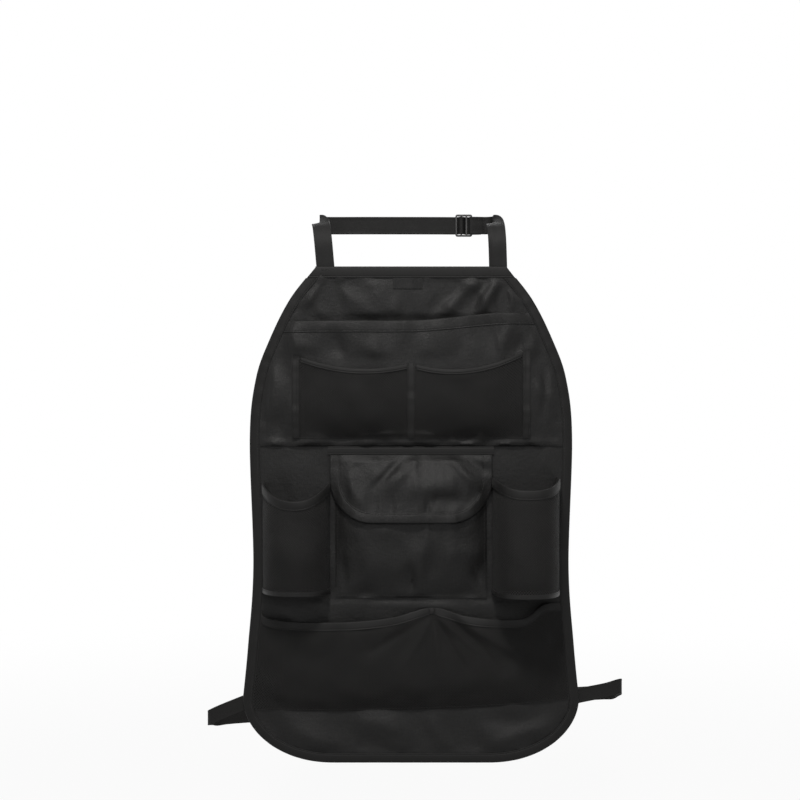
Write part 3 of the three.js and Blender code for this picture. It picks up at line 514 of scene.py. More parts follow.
def bag_front(x, z):
    """The flap pocket's front face without its relief."""
    across = np.minimum(1, np.abs(x) / POCKET_HALF)
    t = (z - POCKET_BOTTOM) / (MOUTH_Z - POCKET_BOTTOM)
    mouth = POCKET_MOUTH / POCKET_BULGE
    above = mouth * np.maximum(0, (FLAP_TOP - z) / MOUTH_DROP)
    return FIRST_LAYER + CLOTH + POCKET_BULGE * (1 - across ** 4) * np.where(t <= 1, pouch(t, mouth), above)


def bag_skin(x, z):
    """The flap pocket's front face, with folds and swell that fade under the flap."""
    edge = POCKET_HALF - np.abs(x)
    up = z - POCKET_BOTTOM
    calm = smooth(edge / 10) * smooth(up / 5) * smooth((BAG_COVERED_FROM - z) / 12)
    swell = 0.8 * waves(x, z, seed=41, length=50) + 0.9 * crumple(x, 0.6 * z, seed=42, length=44)
    seam = pucker(up, x, seed=43, pitch=12, reach=9, height=0.6)
    return bag_front(x, z) + (folds(x, z, BAG_FOLDS) + swell + seam) * calm


def flap_rear(x, z):
    """The flap's rear face without its relief, clear of the bag and of the two patches between them."""
    patches = 2 * (PATCH_THICK + GAP)
    return bag_front(x, z) + LAYER_GAP + patches * smooth((MOUTH_Z - z) / PATCH_HIGH)


def flap_half(z):
    """Half the flap's width at a height."""
    down = np.maximum(0, FLAP_BOTTOM + FLAP_ROUND - z)
    return FLAP_HALF - FLAP_ROUND + np.sqrt(np.maximum(0, FLAP_ROUND ** 2 - down ** 2))


def flap_skin(x, z):
    """The flap's front face."""
    ease = smooth((FLAP_TOP - z) / 7)
    droop = smooth((FLAP_BOTTOM + 24 - z) / 24)
    swell = 0.6 * waves(x, z, seed=51, length=50) + 0.7 * crumple(x, 0.7 * z + 0.4 * x, seed=52, length=40)
    hem = pucker(FLAP_BOTTOM + FLAP_HEM - z, x, seed=53, pitch=15, reach=8, height=0.35)
    relief = np.maximum(folds(x, z, FLAP_FOLDS, 1.7) + swell + hem, FLAP_VALLEY) * ease
    return flap_rear(x, z) + CLOTH + 1.3 * ease + droop + relief


def lower_top(s):
    """The height of the lower net's mouth, across at s from -1 to 1."""
    line = spline(LOWER_EDGE, np.linspace(0, 1, 61))
    return LOWER_TOP + np.interp(s, line[:, 0], line[:, 1])


def lower_bottom(s):
    """The height of the lower net's seam."""
    return LOWER_BOTTOM + LOWER_LIFT * ((s + 1) / 2) ** 3


def lower_place(s, t):
    """x, z and depth of the lower net, across at s from -1 to 1 and up at t from 0 to 1."""
    def arch(a):
        return np.sin(math.pi * np.clip(a, 0, 1)) ** 0.7

    z = mix(lower_bottom(s), lower_top(s), t)
    x = s * inner_half(z)
    beside = np.where(s < TACK, (s + 1) / (TACK + 1), (s - TACK) / (1 - TACK))
    body = mix(arch((s + 1) / 2), arch(beside), np.clip(t, 0, 1) ** 2)
    slack = folds(x, z, LOWER_FOLDS, 1.5) + 0.9 * waves(x, z, seed=61, length=44)
    slack = slack * smooth(np.minimum(body * 3, t * 5))
    return x, z, FIRST_LAYER + NET + LOWER_BULGE * body * pouch(t, 0.8) + slack


def side_place(word, angle, z, inset):
    """A point on a side pocket's wall, which turns from its right end at 0 to its left end at pi."""
    pocket = SIDE_POCKETS[word]
    up = z - SIDE_BOTTOM
    deep = pocket.deep * mix(pocket.share, 1, smooth(up / (pocket.top - SIDE_BOTTOM) * 1.6))
    c, s = np.cos(angle), np.maximum(0, np.sin(angle))
    bend = 0.9 * waves(angle * WALL_RADIUS, z, pocket.seed, 46) * s * smooth(up / 20)
    x = pocket.middle + (pocket.half - inset) * np.sign(c) * np.abs(c) ** pocket.square
    return over(x, z, FIRST_LAYER + (deep + bend - inset) * s ** pocket.square)


def side_rim(word, angle):
    """The height of a side pocket's rim."""
    return SIDE_POCKETS[word].top - SIDE_POCKETS[word].sag * np.sin(angle) ** 2


def steps(a, b, size):
    """Evenly spaced values from a to b, about a size apart."""
    return np.linspace(a, b, max(2, int(round(abs(b - a) / size)) + 1))


# Mesh making
def pick(obj):
    """Selects one object alone and makes it the active one."""
    bpy.ops.object.select_all(action="DESELECT")
    obj.select_set(True)
    bpy.context.view_layer.objects.active = obj


def finish_with(obj, kind, **settings):
    """Adds a modifier and applies it."""
    pick(obj)
    modifier = obj.modifiers.new(kind.title(), kind)
    for key, value in settings.items():
        setattr(modifier, key, value)
    bpy.ops.object.modifier_apply(modifier=modifier.name)


def new_piece(name, points, faces, uv):
    """A mesh object from points and UVs in millimetres."""
    mesh = bpy.data.meshes.new(name)
    mesh.from_pydata((np.asarray(points, float) * MM).tolist(), [], faces)
    obj = bpy.data.objects.new(name, mesh)
    bpy.context.scene.collection.objects.link(obj)
    corner = np.zeros(len(mesh.loops), np.int32)
    mesh.loops.foreach_get("vertex_index", corner)
    layer = mesh.uv_layers.new(name="UVMap")
    layer.data.foreach_set("uv", (np.asarray(uv, float)[corner] * MM).ravel())
    return obj


def settle(obj, word, *nodes, angle=50):
    """Gives a finished piece its shading and its finish from FINISHES, ties it to the root and hides the
    nodes that it stands for.
    """
    name, slot, make = FINISHES[word]
    pick(obj)
    bpy.ops.object.shade_smooth_by_angle(angle=math.radians(angle))
    obj.data.materials.clear()
    obj.data.materials.append(bpy.data.materials.get(name) or make(name, tuple(getattr(tints(), word))))
    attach(obj, "root")
    if nodes:
        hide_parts(*nodes)


def grid_faces(rows, columns):
    """The four corners of each face of a grid of points."""
    index = np.arange(rows * columns).reshape(rows, columns)
    corners = [index[:-1, :-1], index[:-1, 1:], index[1:, 1:], index[1:, :-1]]
    return np.stack(corners, -1).reshape(-1, 4).tolist()


def make_cloth(name, places, thick, uv=None):
    """Cloth from rows of places on its front face, lowest row first, each row from left to right."""
    rows, columns = places.shape[:2]
    if uv is None:
        uv = places[..., [0, 2]]
    obj = new_piece(name, places.reshape(-1, 3), grid_faces(rows, columns), uv.reshape(-1, 2))
    finish_with(obj, "SOLIDIFY", thickness=thick * MM, offset=-1, use_quality_normals=True)
    return obj


def make_net(name, wide, high, place, pitch, open_share, thick):
    """Open net of diamond holes. place(u, v) takes shares of the width and height.

    Knots stand on every second crossing of a square grid. Round each crossing between four knots a diamond of
    threads leaves a hole, and along the edges a triangle closes the gap.
    """
    columns, rows = max(4, round(wide / pitch)), max(4, round(high / pitch))
    i, j = (a.ravel() for a in np.meshgrid(np.arange(columns + 1), np.arange(rows + 1), indexing="ij"))
    knot = (i + j) % 2 == 1
    number = np.full((columns + 1, rows + 1), -1)
    number[i[knot], j[knot]] = np.arange(knot.sum())
    hole = ~knot & (i > 0) & (i < columns) & (j > 0) & (j < rows)
    ci, cj = i[hole], j[hole]
    around = [(1, 0), (0, 1), (-1, 0), (0, -1)]
    spots = [np.stack([i[knot], j[knot]], -1).astype(float)]
    spots += [np.stack([ci + open_share * di, cj + open_share * dj], -1) for di, dj in around]
    spots = np.concatenate(spots)
    places = place(spots[:, 0] / columns, spots[:, 1] / rows)
    outer = [number[ci + di, cj + dj] for di, dj in around]
    inner = [knot.sum() + k * len(ci) + np.arange(len(ci)) for k in range(4)]
    quads = [np.stack([outer[k], outer[(k + 1) % 4], inner[(k + 1) % 4], inner[k]], -1) for k in range(4)]
    faces = np.concatenate(quads).tolist()
    for a, b in zip(i[~knot], j[~knot]):
        near = [number[a + di, b + dj] for di, dj in around if 0 <= a + di <= columns and 0 <= b + dj <= rows]
        if len(near) == 3:
            faces.append([int(n) for n in near])
    uv = spots * [wide / columns, high / rows]
    obj = new_piece(name, places, faces, uv)
    pick(obj)
    bpy.ops.object.mode_set(mode="EDIT")
    bpy.ops.mesh.select_all(action="SELECT")
    bpy.ops.mesh.normals_make_consistent(inside=False)
    bpy.ops.object.mode_set(mode="OBJECT")
    finish_with(obj, "SOLIDIFY", thickness=thick * MM, offset=-1)
    return obj


def outward(points, faces):
    """The faces, turned so that a closed body's faces point out."""
    p = np.asarray(points, float)
    volume = 0
    for face in faces:
        for b, c in zip(face[1:-1], face[2:]):
            volume += np.dot(p[face[0]], np.cross(p[b], p[c]))
    return faces if volume > 0 else [face[::-1] for face in faces]


def make_sweep(name, rings, uv):
    """A closed body through rings of points, with its two ends capped."""
    stations, size = rings.shape[:2]
    faces = []
    for s in range(stations - 1):
        for k in range(size):
            a, b = s * size + k, s * size + (k + 1) % size
            faces.append([a, b, b + size, a + size])
    faces.append(list(range(size))[::-1])
    faces.append([(stations - 1) * size + k for k in range(size)])
    points = rings.reshape(-1, 3)
    return new_piece(name, points, outward(points, faces), uv.reshape(-1, 2))


def unit(ways):
    """The same ways, each of length 1."""
    return ways / np.linalg.norm(ways, axis=-1, keepdims=True)


def lengths(points):
    """How far along a line each of its points lies."""
    return np.concatenate([[0], np.cumsum(np.linalg.norm(np.diff(points, axis=0), axis=1))])


def make_band(name, stations, section, place):
    """A tape along an edge. place(station, a, b) takes the distances into the cloth and out of its face."""
    s, a = np.meshgrid(stations, section[:, 0], indexing="ij")
    b = np.broadcast_to(section[:, 1], s.shape)
    rings = place(s, a, b)
    along = lengths(rings[:, 0])
    uv = np.stack([np.broadcast_to(along[:, None], a.shape), a], -1)
    return make_sweep(name, rings, uv)


def folded(front, rear, cloth, gap=0.15):
    """The section of a tape folded over an edge, pressed down by a seam near each of its inner edges."""
    middle, outer, inner = -cloth / 2, cloth / 2 + gap + TAPE, cloth / 2 + gap
    turn = np.linspace(math.pi / 2, -math.pi / 2, 7)
    top = gap + TAPE
    leg = [(front, gap + TAPE * 0.75), (front - 0.5, top), (front - 1.1, top - 0.05),
           (front - SEAM_INSET, top - 0.38), (front - 2.1, top - 0.05), (front - 2.8, top + 0.05),
           (front * 0.45, top + 0.2)]
    roll = [(-outer * 0.85 * math.cos(t), middle + outer * math.sin(t)) for t in turn]
    under = [(rear - 2.1, -cloth - top), (rear - 1.6, -cloth - top + 0.3), (rear - 1.1, -cloth - top),
             (rear, -cloth - top), (rear, -cloth - gap)]
    lining = [(-inner * 0.85 * math.cos(t), middle + inner * math.sin(t)) for t in turn[::-1]]
    return np.array(leg + roll + under + lining + [(front, gap)])


def flat_tape(wide, thick):
    """The section of a flat tape with a sewn line near each edge."""
    w = wide / 2
    half = [(w, 0), (w, thick * 0.7), (w - 0.5, thick), (w - 1.1, thick - 0.02), (w - 1.5, thick - 0.3),
            (w - 1.9, thick - 0.02), (w - 2.6, thick + 0.05)]
    return np.array(half + [(0, thick + 0.1)] + [(-a, b) for a, b in half[::-1]])


def webbing(wide, thick):
    """The section of a webbing strap, thicker at its two edges."""
    w, t = wide / 2, thick / 2
    side = [(w, -t * 0.5), (w, t * 0.5), (w - 0.5, t), (w - 1.3, t), (w - 1.9, t * 0.8), (w * 0.5, t * 0.84)]
    upper = side[1:] + [(-a, b) for a, b in side[:0:-1]]
    return np.array(upper + [(-a, -b) for a, b in upper])


def bead(length, wide):
    """One stitch: a small thread bead along X, a few faces in all."""
    sides = 5
    turn = np.arange(sides) * 2 * math.pi / sides
    ring = np.stack([np.zeros(sides), np.cos(turn) * wide / 2, np.sin(turn) * wide * 0.4], -1)
    reach = length * 0.34
    points = np.vstack([[[-length / 2, 0, -wide * 0.25]], ring - [reach, 0, 0], ring + [reach, 0, 0],
                        [[length / 2, 0, -wide * 0.25]]])
    faces = []
    for k in range(sides):
        n = (k + 1) % sides
        faces += [[0, 1 + n, 1 + k], [1 + k, 1 + n, 1 + sides + n, 1 + sides + k],
                  [1 + 2 * sides, 1 + sides + k, 1 + sides + n]]
    return points, outward(points, faces)


def sew(name, rows, pitch=None, wide=None):
    """Sewn lines. Each row has a line of points and the direction that the cloth's face looks in there."""
    pitch = pitch or sizes().stitch / MM
    wide = wide or sizes().thread / MM
    shape, shape_faces = bead(pitch * BEAD_SHARE, wide)
    points, faces, uv = [], [], []
    for line, face in rows:
        line = np.asarray(line, float)
        face = np.broadcast_to(np.asarray(face, float), line.shape)
        far = lengths(line)
        count = max(1, int(far[-1] / pitch))
        spots = (np.arange(count) + 0.5) * far[-1] / count

        def read(values, shift=0):
            return np.stack([np.interp(spots + shift, far, values[:, k]) for k in range(3)], -1)

        at = read(line)
        along = unit(read(line, READ_REACH) - read(line, -READ_REACH))
        across = unit(np.cross(read(face), along))
        up = np.cross(along, across)
        for k in range(count):
            start = len(points) * len(shape)
            points.append(at[k] + shape @ np.stack([along[k], across[k], up[k]]))
            uv.append(shape[:, :2])
            faces += [[start + n for n in f] for f in shape_faces]
    settle(new_piece(name, np.concatenate(points), faces, np.concatenate(uv)), "thread", angle=60)


def on_tape(place, line, inward, out):
    """Points along a tape, a distance in from its edge and another out of its face."""
    return place(line, np.full(line.shape, inward), np.full(line.shape, out))


def hem_seam(place, line, wide, way=FRONT):
    """A row for sew() near a folded tape's inner edge."""
    return on_tape(place, line, wide - SEAM_INSET, TAPE - SEAM_SINK), way


def moulded(node, name, edge):
    """A moulded part: a copy of its node with rounded edges."""
    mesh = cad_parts[node].data.copy()
    mesh.name = name
    obj = bpy.data.objects.new(name, mesh)
    bpy.context.scene.collection.objects.link(obj)
    pick(obj)
    bpy.ops.object.mode_set(mode="EDIT")
    bpy.ops.mesh.select_all(action="SELECT")
    bpy.ops.mesh.remove_doubles(threshold=1e-5)
    bpy.ops.mesh.dissolve_limited(angle_limit=math.radians(2))
    bpy.ops.object.mode_set(mode="OBJECT")
    finish_with(obj, "BEVEL", width=edge * MM, segments=3, limit_method="ANGLE", angle_limit=math.radians(40),
                use_clamp_overlap=True)
    settle(obj, "plastic", node, angle=40)


def cut_size(places):
    """The flat size in metres and the area of cloth, measured along its surface over rows of places."""
    wide = np.linalg.norm(np.diff(places, axis=1), axis=2).sum(1).max()
    tall = np.linalg.norm(np.diff(places, axis=0), axis=2).sum(0).max()
    a, b = places[1:, :-1] - places[:-1, :-1], places[:-1, 1:] - places[:-1, :-1]
    area = np.linalg.norm(np.cross(a, b), axis=2).sum()
    return (wide * MM, tall * MM), min(area * MM * MM, wide * tall * MM * MM)


# Materials
class Socket:
    """A socket of a material's nodes, with plain arithmetic on it."""

    def __init__(self, finish, socket):
        self.finish = finish
        self.socket = socket

    def math(self, operation, *values):
        return self.finish.math(operation, self, *values)

    def ribs(self, pitch):
        """Round ribs at a pitch, from 0 between them to 1 on their backs."""
        return (self * (math.pi / pitch)).math("SINE").math("ABSOLUTE")

    def __add__(self, other):
        return self.math("ADD", other)

    def __radd__(self, other):
        return self.math("ADD", other)

    def __sub__(self, other):
        return self.math("SUBTRACT", other)

    def __rsub__(self, other):
        return self.finish.math("SUBTRACT", other, self)

    def __mul__(self, other):
        return self.math("MULTIPLY", other)

    def __rmul__(self, other):
        return self.math("MULTIPLY", other)

    def __truediv__(self, other):
        return self.math("DIVIDE", other)

    def __rtruediv__(self, other):
        return self.finish.math("DIVIDE", other, self)


class Finish:
    """A material under construction."""

    def __init__(self, name, **fixed):
        self.material = bpy.data.materials.new(name)
        self.material.use_nodes = True
        self.tree = self.material.node_tree
        self.surface = self.tree.nodes["Principled BSDF"]
        for key, value in fixed.items():
            self.surface.inputs[key.replace("_", " ")].default_value = value

    def feed(self, target, value):
        if isinstance(value, Socket):
            self.tree.links.new(value.socket, target)
        else:
            target.default_value = value

    def node(self, kind, settings, values, out=0):
        item = self.tree.nodes.new(kind)
        for key, value in settings.items():
            setattr(item, key, value)
        for key, value in values.items():
            self.feed(item.inputs[key], value)
        return Socket(self, item.outputs[out])

    def math(self, operation, *values):
        return self.node("ShaderNodeMath", {"operation": operation}, dict(enumerate(values)))

    def along_cloth(self):
        """The two directions of the piece's own UV map, in metres."""
        uv = self.node("ShaderNodeUVMap", {"uv_map": "UVMap"}, {})
        return [self.node("ShaderNodeSeparateXYZ", {}, {0: uv}, k) for k in (0, 1)]

    def noise(self, scale, detail=2.0, where=None):
        where = where or self.node("ShaderNodeTexCoord", {}, {}, "Object")
        return self.node("ShaderNodeTexNoise", {}, {"Vector": where, "Scale": scale, "Detail": detail})

    def streaks(self, u, v, across, along):
        """Uneven yarns: noise that runs on along one way of the weave."""
        where = self.node("ShaderNodeCombineXYZ", {}, {0: u * across, 1: v * along})
        return self.noise(1, 1, where)

    def colour(self, tint, darkest, palest, factor):
        """Shades between two shares of a tint."""
        dark, pale = ((*(min(1.0, part * share) for part in tint), 1) for share in (darkest, palest))
        shades = self.node("ShaderNodeMix", {"data_type": "RGBA"}, {0: factor, 6: dark, 7: pale}, 2)
        self.feed(self.surface.inputs["Base Color"], shades)

    def roughness(self, lowest, highest, factor):
        self.feed(self.surface.inputs["Roughness"], lowest + (highest - lowest) * factor)

    def relief(self, height, distance):
        """Fine relief, with the depth in metres that a height of 1 stands for."""
        bump = self.node("ShaderNodeBump", {}, {"Strength": 1.0, "Distance": distance, "Height": height})
        self.feed(self.surface.inputs["Normal"], bump)


def plain_weave(u, v, pitch):
    """Threads that go over and under each other, from 0 between threads to 1 on their backs."""
    a, b = u / pitch, v / pitch
    over_it = (a.math("FLOOR") + b.math("FLOOR")).math("FLOORED_MODULO", 2.0)
    return a.ribs(1) * over_it + b.ribs(1) * (1 - over_it)


def cloth_finish(name, tint):
    """Plain weave of uneven yarns, slightly crinkled, with painted shade between the threads."""
    finish = Finish(name, Sheen_Weight=0.01, Sheen_Roughness=0.4, Specular_IOR_Level=0.15)
    u, v = finish.along_cloth()
    threads = plain_weave(u, v, 0.00055)
    cloud = finish.noise(26, 3)
    flecks = finish.noise(1900, 1)
    slubs = finish.noise(620, 2)
    crinkle = finish.noise(230, 3)
    streaks = finish.streaks(u, v, 1100, 70) + finish.streaks(u, v, 70, 1100)
    # Colour: the yarns' own uneven tone from the noises, and painted shade that is darker between the threads
    # and paler on their backs
    yarn_tone_and_weave_shade = threads * 0.3 + cloud * 0.2 + slubs * 0.25 + (streaks - 0.75) * 0.5
    finish.colour(tint, 0.3, 1.7, yarn_tone_and_weave_shade)
    finish.roughness(0.36, 0.56, flecks * 0.3 + cloud * 0.3 + streaks * 0.2)
    finish.relief(threads + flecks * 0.5 + slubs + streaks * 2 + crinkle * 9, 0.00005)
    return finish.material


def tape_finish(name, tint):
    """Ribs across a tape."""
    finish = Finish(name, Sheen_Weight=0.01, Sheen_Roughness=0.4, Specular_IOR_Level=0.13)
    u, v = finish.along_cloth()
    ribs = u.ribs(0.0009)
    cloud = finish.noise(40, 3)
    # The colour is darker between the ribs: painted shade in their grooves. The cloud gives uneven tone
    finish.colour(tint, 0.6, 1.35, ribs * 0.5 + cloud * 0.5)
    finish.roughness(0.46, 0.62, cloud)
    finish.relief(ribs + v.ribs(0.0005) * 0.3, 0.00005)
    return finish.material


def net_finish(name, tint):
    """Twisted threads of a net."""
    finish = Finish(name, Sheen_Weight=0.01, Sheen_Roughness=0.5, Specular_IOR_Level=0.13)
    u, v = finish.along_cloth()
    twist = (u + v).ribs(0.0005)
    cloud = finish.noise(60, 2)
    # The colour is darker in the grooves of the twist: painted shade. The cloud gives uneven tone
    finish.colour(tint, 0.7, 1.4, twist * 0.4 + cloud * 0.5)
    finish.roughness(0.6, 0.82, cloud)
    finish.relief(twist, 0.00005)
    return finish.material


def webbing_finish(name, tint):
    """Herringbone twill in four bands across a strap."""
    finish = Finish(name, Sheen_Weight=0.01, Sheen_Roughness=0.4, Specular_IOR_Level=0.14)
    u, v = finish.along_cloth()
    chevron = v.math("PINGPONG", STRAP_WIDE * MM / 4)
    twill = (u + chevron * 1.6).ribs(0.0013)
    cloud = finish.noise(45, 2)
    # The colour is darker in the grooves of the twill: painted shade. The cloud gives uneven tone
    finish.colour(tint, 0.55, 1.4, twill * 0.6 + cloud * 0.4)
    finish.roughness(0.5, 0.74, cloud)
    finish.relief(twill + v.ribs(0.0008) * 0.4, 0.00006)
    return finish.material


def elastic_finish(name, tint):
    """Lines along a belt, gathered across it."""
    finish = Finish(name, Sheen_Weight=0.01, Sheen_Roughness=0.5, Specular_IOR_Level=0.12)
    u, v = finish.along_cloth()
    lines, gather = v.ribs(0.0011), u.ribs(0.0007)
    cloud = finish.noise(50, 2)
    # The colour is darker between the lines and the gathers: painted shade in their grooves. The cloud gives
    # uneven tone
    finish.colour(tint, 0.6, 1.35, lines * 0.5 + gather * 0.2 + cloud * 0.3)
    finish.roughness(0.64, 0.84, cloud)
    finish.relief(lines + gather * 0.5, 0.00009)
    return finish.material


def patch_finish(name, tint):
    """Fuzz of the hook and loop patches."""
    finish = Finish(name, Sheen_Weight=0.6, Sheen_Roughness=0.6, Specular_IOR_Level=0.3)
    fuzz = finish.noise(2600, 4)
    finish.colour(tint, 0.6, 1.7, fuzz)
    finish.roughness(0.8, 0.98, fuzz)
    finish.relief(fuzz, 0.0007)
    return finish.material


def label_finish(name, tint):
    """Satin ribbon."""
    finish = Finish(name, Sheen_Weight=0.02, Specular_IOR_Level=0.18)
    satin = finish.along_cloth()[1].ribs(0.0004)
    cloud = finish.noise(120, 2)
    # The colour is darker between the satin's ribs: painted shade in their grooves. The cloud gives uneven
    # tone
    finish.colour(tint, 0.8, 1.3, satin * 0.4 + cloud * 0.5)
    finish.roughness(0.4, 0.6, cloud)
    finish.relief(satin, 0.0001)
    return finish.material


def plastic_finish(name, tint):
    """Matt moulded plastic with a fine grain."""
    finish = Finish(name, Specular_IOR_Level=0.3)
    grain = finish.noise(2200, 2)
    cloud = finish.noise(70, 3)
    finish.colour(tint, 0.85, 1.2, cloud)
    finish.roughness(0.32, 0.5, grain * 0.5 + cloud * 0.5)
    finish.relief(grain, 0.00005)
    return finish.material


def thread_finish(name, tint):
    """Twisted sewing thread."""
    finish = Finish(name, Sheen_Weight=0.02, Sheen_Roughness=0.4, Specular_IOR_Level=0.18)
    u, v = finish.along_cloth()
    twist = (u + v * 2).ribs(0.0003)
    # The colour is darker in the grooves of the twist: painted shade
    finish.colour(tint, 0.7, 1.3, twist)
    finish.roughness(0.5, 0.7, twist)
    finish.relief(twist, 0.00006)
    return finish.material


# Finishes, under the names of their tints: material, slot and the function that makes it
FINISHES = {
    "cloth": ("woven_cloth", "cloth", cloth_finish),
    "tape": ("grosgrain_tape", "tape", tape_finish),
    "net": ("open_net", "net", net_finish),
    "webbing": ("strap_webbing", "webbing", webbing_finish),
    "elastic": ("belt_elastic", "elastic", elastic_finish),
    "patch": ("closure_fleece", "hook_and_loop", patch_finish),
    "label": ("satin_label", "woven_label", label_finish),
    "plastic": ("moulded_plastic", "plastic", plastic_finish),
    "thread": ("sewing_thread", "tape", thread_finish),
}


def tints():
    return bpy.context.scene.organizer_colours


def sizes():
    return bpy.context.scene.organizer_sizes


def cell():
    return sizes().cell / MM


def net_piece(name, node, wide, high, place):
    """An open net that stands for a node, with the size of its cut and the area of its threads."""
    share = sizes().net_open
    obj = make_net(name, wide, high, place, sizes().net_pitch / MM, share, sizes().net_thick / MM)
    settle(obj, "net", node, angle=35)
    u, v = np.meshgrid(np.linspace(0, 1, 41), np.linspace(0, 1, 21))
    flat, area = cut_size(place(u, v))
    return obj, flat, area * (1 - share * share)


class OrganizerSizes(bpy.types.PropertyGroup):
    """Fine sizes of the net, the sewing and the cloth's mesh."""
    net_pitch: FloatProperty(name="Net pitch", description="Half the width of one diamond of the net",
                             default=1.68 * MM, unit="LENGTH")
    net_open: FloatProperty(name="Net opening", description="Share of a diamond's width that its hole takes",
                            default=0.66, subtype="FACTOR")
    net_thick: FloatProperty(name="Net thickness", description="Thickness of the net's threads",
                             default=0.34 * MM, unit="LENGTH")
    stitch: FloatProperty(name="Stitch", description="Distance from one stitch to the next",
                          default=3.4 * MM, unit="LENGTH")
    thread: FloatProperty(name="Thread", description="Width of the sewing thread",
                          default=0.6 * MM, unit="LENGTH")
    cell: FloatProperty(name="Cloth cell", description="Size of one face of the cloth's mesh",
                        default=3.2 * MM, unit="LENGTH")


def dark_grey(name, description, value):
    """A dark grey of about a value, a little warm."""
    return FloatVectorProperty(name=name, description=description, subtype="COLOR", min=0, max=1,
                               default=(value, value * 0.985, value * 0.965))


class OrganizerColours(bpy.types.PropertyGroup):
    """Colours of the finishes."""
    cloth: dark_grey("Cloth", "Woven cloth of the panel and the pockets", 0.0085)
    tape: dark_grey("Tape", "Bindings, hems and sewn tapes", 0.0085)
    net: dark_grey("Net", "Threads of the open nets", 0.0135)
    webbing: dark_grey("Webbing", "Upper straps", 0.006)
    elastic: dark_grey("Elastic", "Lower belts", 0.0125)
    patch: dark_grey("Patches", "Hook and loop patches", 0.012)
    label: dark_grey("Label", "Blank woven label", 0.004)
    plastic: dark_grey("Plastic", "Buckles and sliders", 0.022)
    thread: dark_grey("Thread", "Sewing thread", 0.012)


class ORGANIZER_OT_back_panel(bpy.types.Operator):
    """Make the back panel's cloth"""
    bl_idname = "organizer.back_panel"
    bl_label = "Back panel"

    def execute(self, context):
        corner = SIDE_EDGE[SIDE_EDGE[:, 1] < HIP_Z, 1][::2]
        z = np.unique(np.concatenate([[PANEL_BOTTOM], corner, steps(HIP_Z, PANEL_TOP, cell())]))
        s, z = np.meshgrid(steps(-1, 1, cell() / HIP_HALF), z)
        x = s * half_width(z)
        places = over(x, z, PANEL + panel_relief(x, z))
        panel = make_cloth("panel_cloth", places, PANEL)
        settle(panel, "cloth", "back_panel")
        flat, area = cut_size(places)
        return {"FINISHED"}


# Places on tapes, for stations along a tape and distances a in from its edge and b out of its face
def edge_line():
    """The panel's edge below the top binding, from the right round to the left, and its outward ways."""
    start = PANEL_TOP - TOP_BINDING_HIGH - GAP
    right = np.vstack([[half_width(start), start], SIDE_EDGE[SIDE_EDGE[:, 1] < start - 1]])
    flat = steps(SIDE_EDGE[-1, 0], -SIDE_EDGE[-1, 0], 6)[1:-1]
    bottom = np.stack([flat, np.full(flat.shape, PANEL_BOTTOM)], -1)
    line = np.vstack([right, bottom, (right * [-1, 1])[::-1]])
    along = unit(np.gradient(line, axis=0))
    out = np.stack([-along[:, 1], along[:, 0]], -1)
    for end in (0, -1):
        # The ways at the two ends are level, so that the tape ends level under the top binding
        out[end] = [1 / out[end, 0], 0]
    return line, out


def inside(edge, station, a):
    """x and z at stations of an edge and a distance in from it, and how far along the edge they lie."""
    line, out = edge
    i = station.astype(int)
    p = line[i] - out[i] * a[..., None]
    return p[..., 0], p[..., 1], lengths(line)[i]


def edge_place(station, a, b):
    x, z, far = inside(edge_line(), station, a)
    return over(x, z, PANEL + b + ripple(far, seed=81, length=16, height=0.22) * (b > 0))


def top_place(s, a, b):
    z = PANEL_TOP - a
    x = s * (half_width(np.minimum(z, PANEL_TOP)) + GAP + TAPE)
    return over(x, z, PANEL + b + ripple(x, seed=82, length=30, height=0.3) * (b > 0))


def strap_box(x):
    """Sewn box on the top binding, through the strap behind it."""
    half = STRAP_WIDE / 2 - 3
    upper, lower = PANEL_TOP - 2.2, PANEL_TOP - TOP_BINDING_HIGH + 3
    depth = PANEL + TAPE + 0.35
    corners = [(x - half, upper), (x + half, upper), (x + half, lower), (x - half, lower), (x - half, upper)]
    return [(over(np.linspace(a[0], b[0], 6), np.linspace(a[1], b[1], 6), depth), FRONT)
            for a, b in zip(corners, corners[1:])]


class ORGANIZER_OT_edge_bindings(bpy.types.Operator):
    """Make the tapes folded over the panel's edges, with their seams"""
    bl_idname = "organizer.edge_bindings"
    bl_label = "Edge bindings"

    def execute(self, context):
        stations = np.arange(len(edge_line()[0]))
        edge = make_band("edge_tape", stations, folded(BINDING_WIDE, BINDING_WIDE, PANEL), edge_place)
        settle(edge, "tape", "edge_binding")
        across = steps(-1, 1, 0.02)
        top = make_band("top_tape", across, folded(TOP_BINDING_HIGH, TOP_BINDING_HIGH, PANEL), top_place)
        settle(top, "tape", "top_binding")
        rows = []
        for place, line, wide in ((edge_place, stations, BINDING_WIDE),
                                  (top_place, across * 0.985, TOP_BINDING_HIGH)):
            rows.append(hem_seam(place, line, wide))
            rows.append((on_tape(place, line, wide - SEAM_INSET, -PANEL - TAPE), REAR))
        for strap in (LEFT_STRAP_X, RIGHT_STRAP_X):
            rows += strap_box(strap)
        sew("seam_panel_edges", rows)
        return {"FINISHED"}


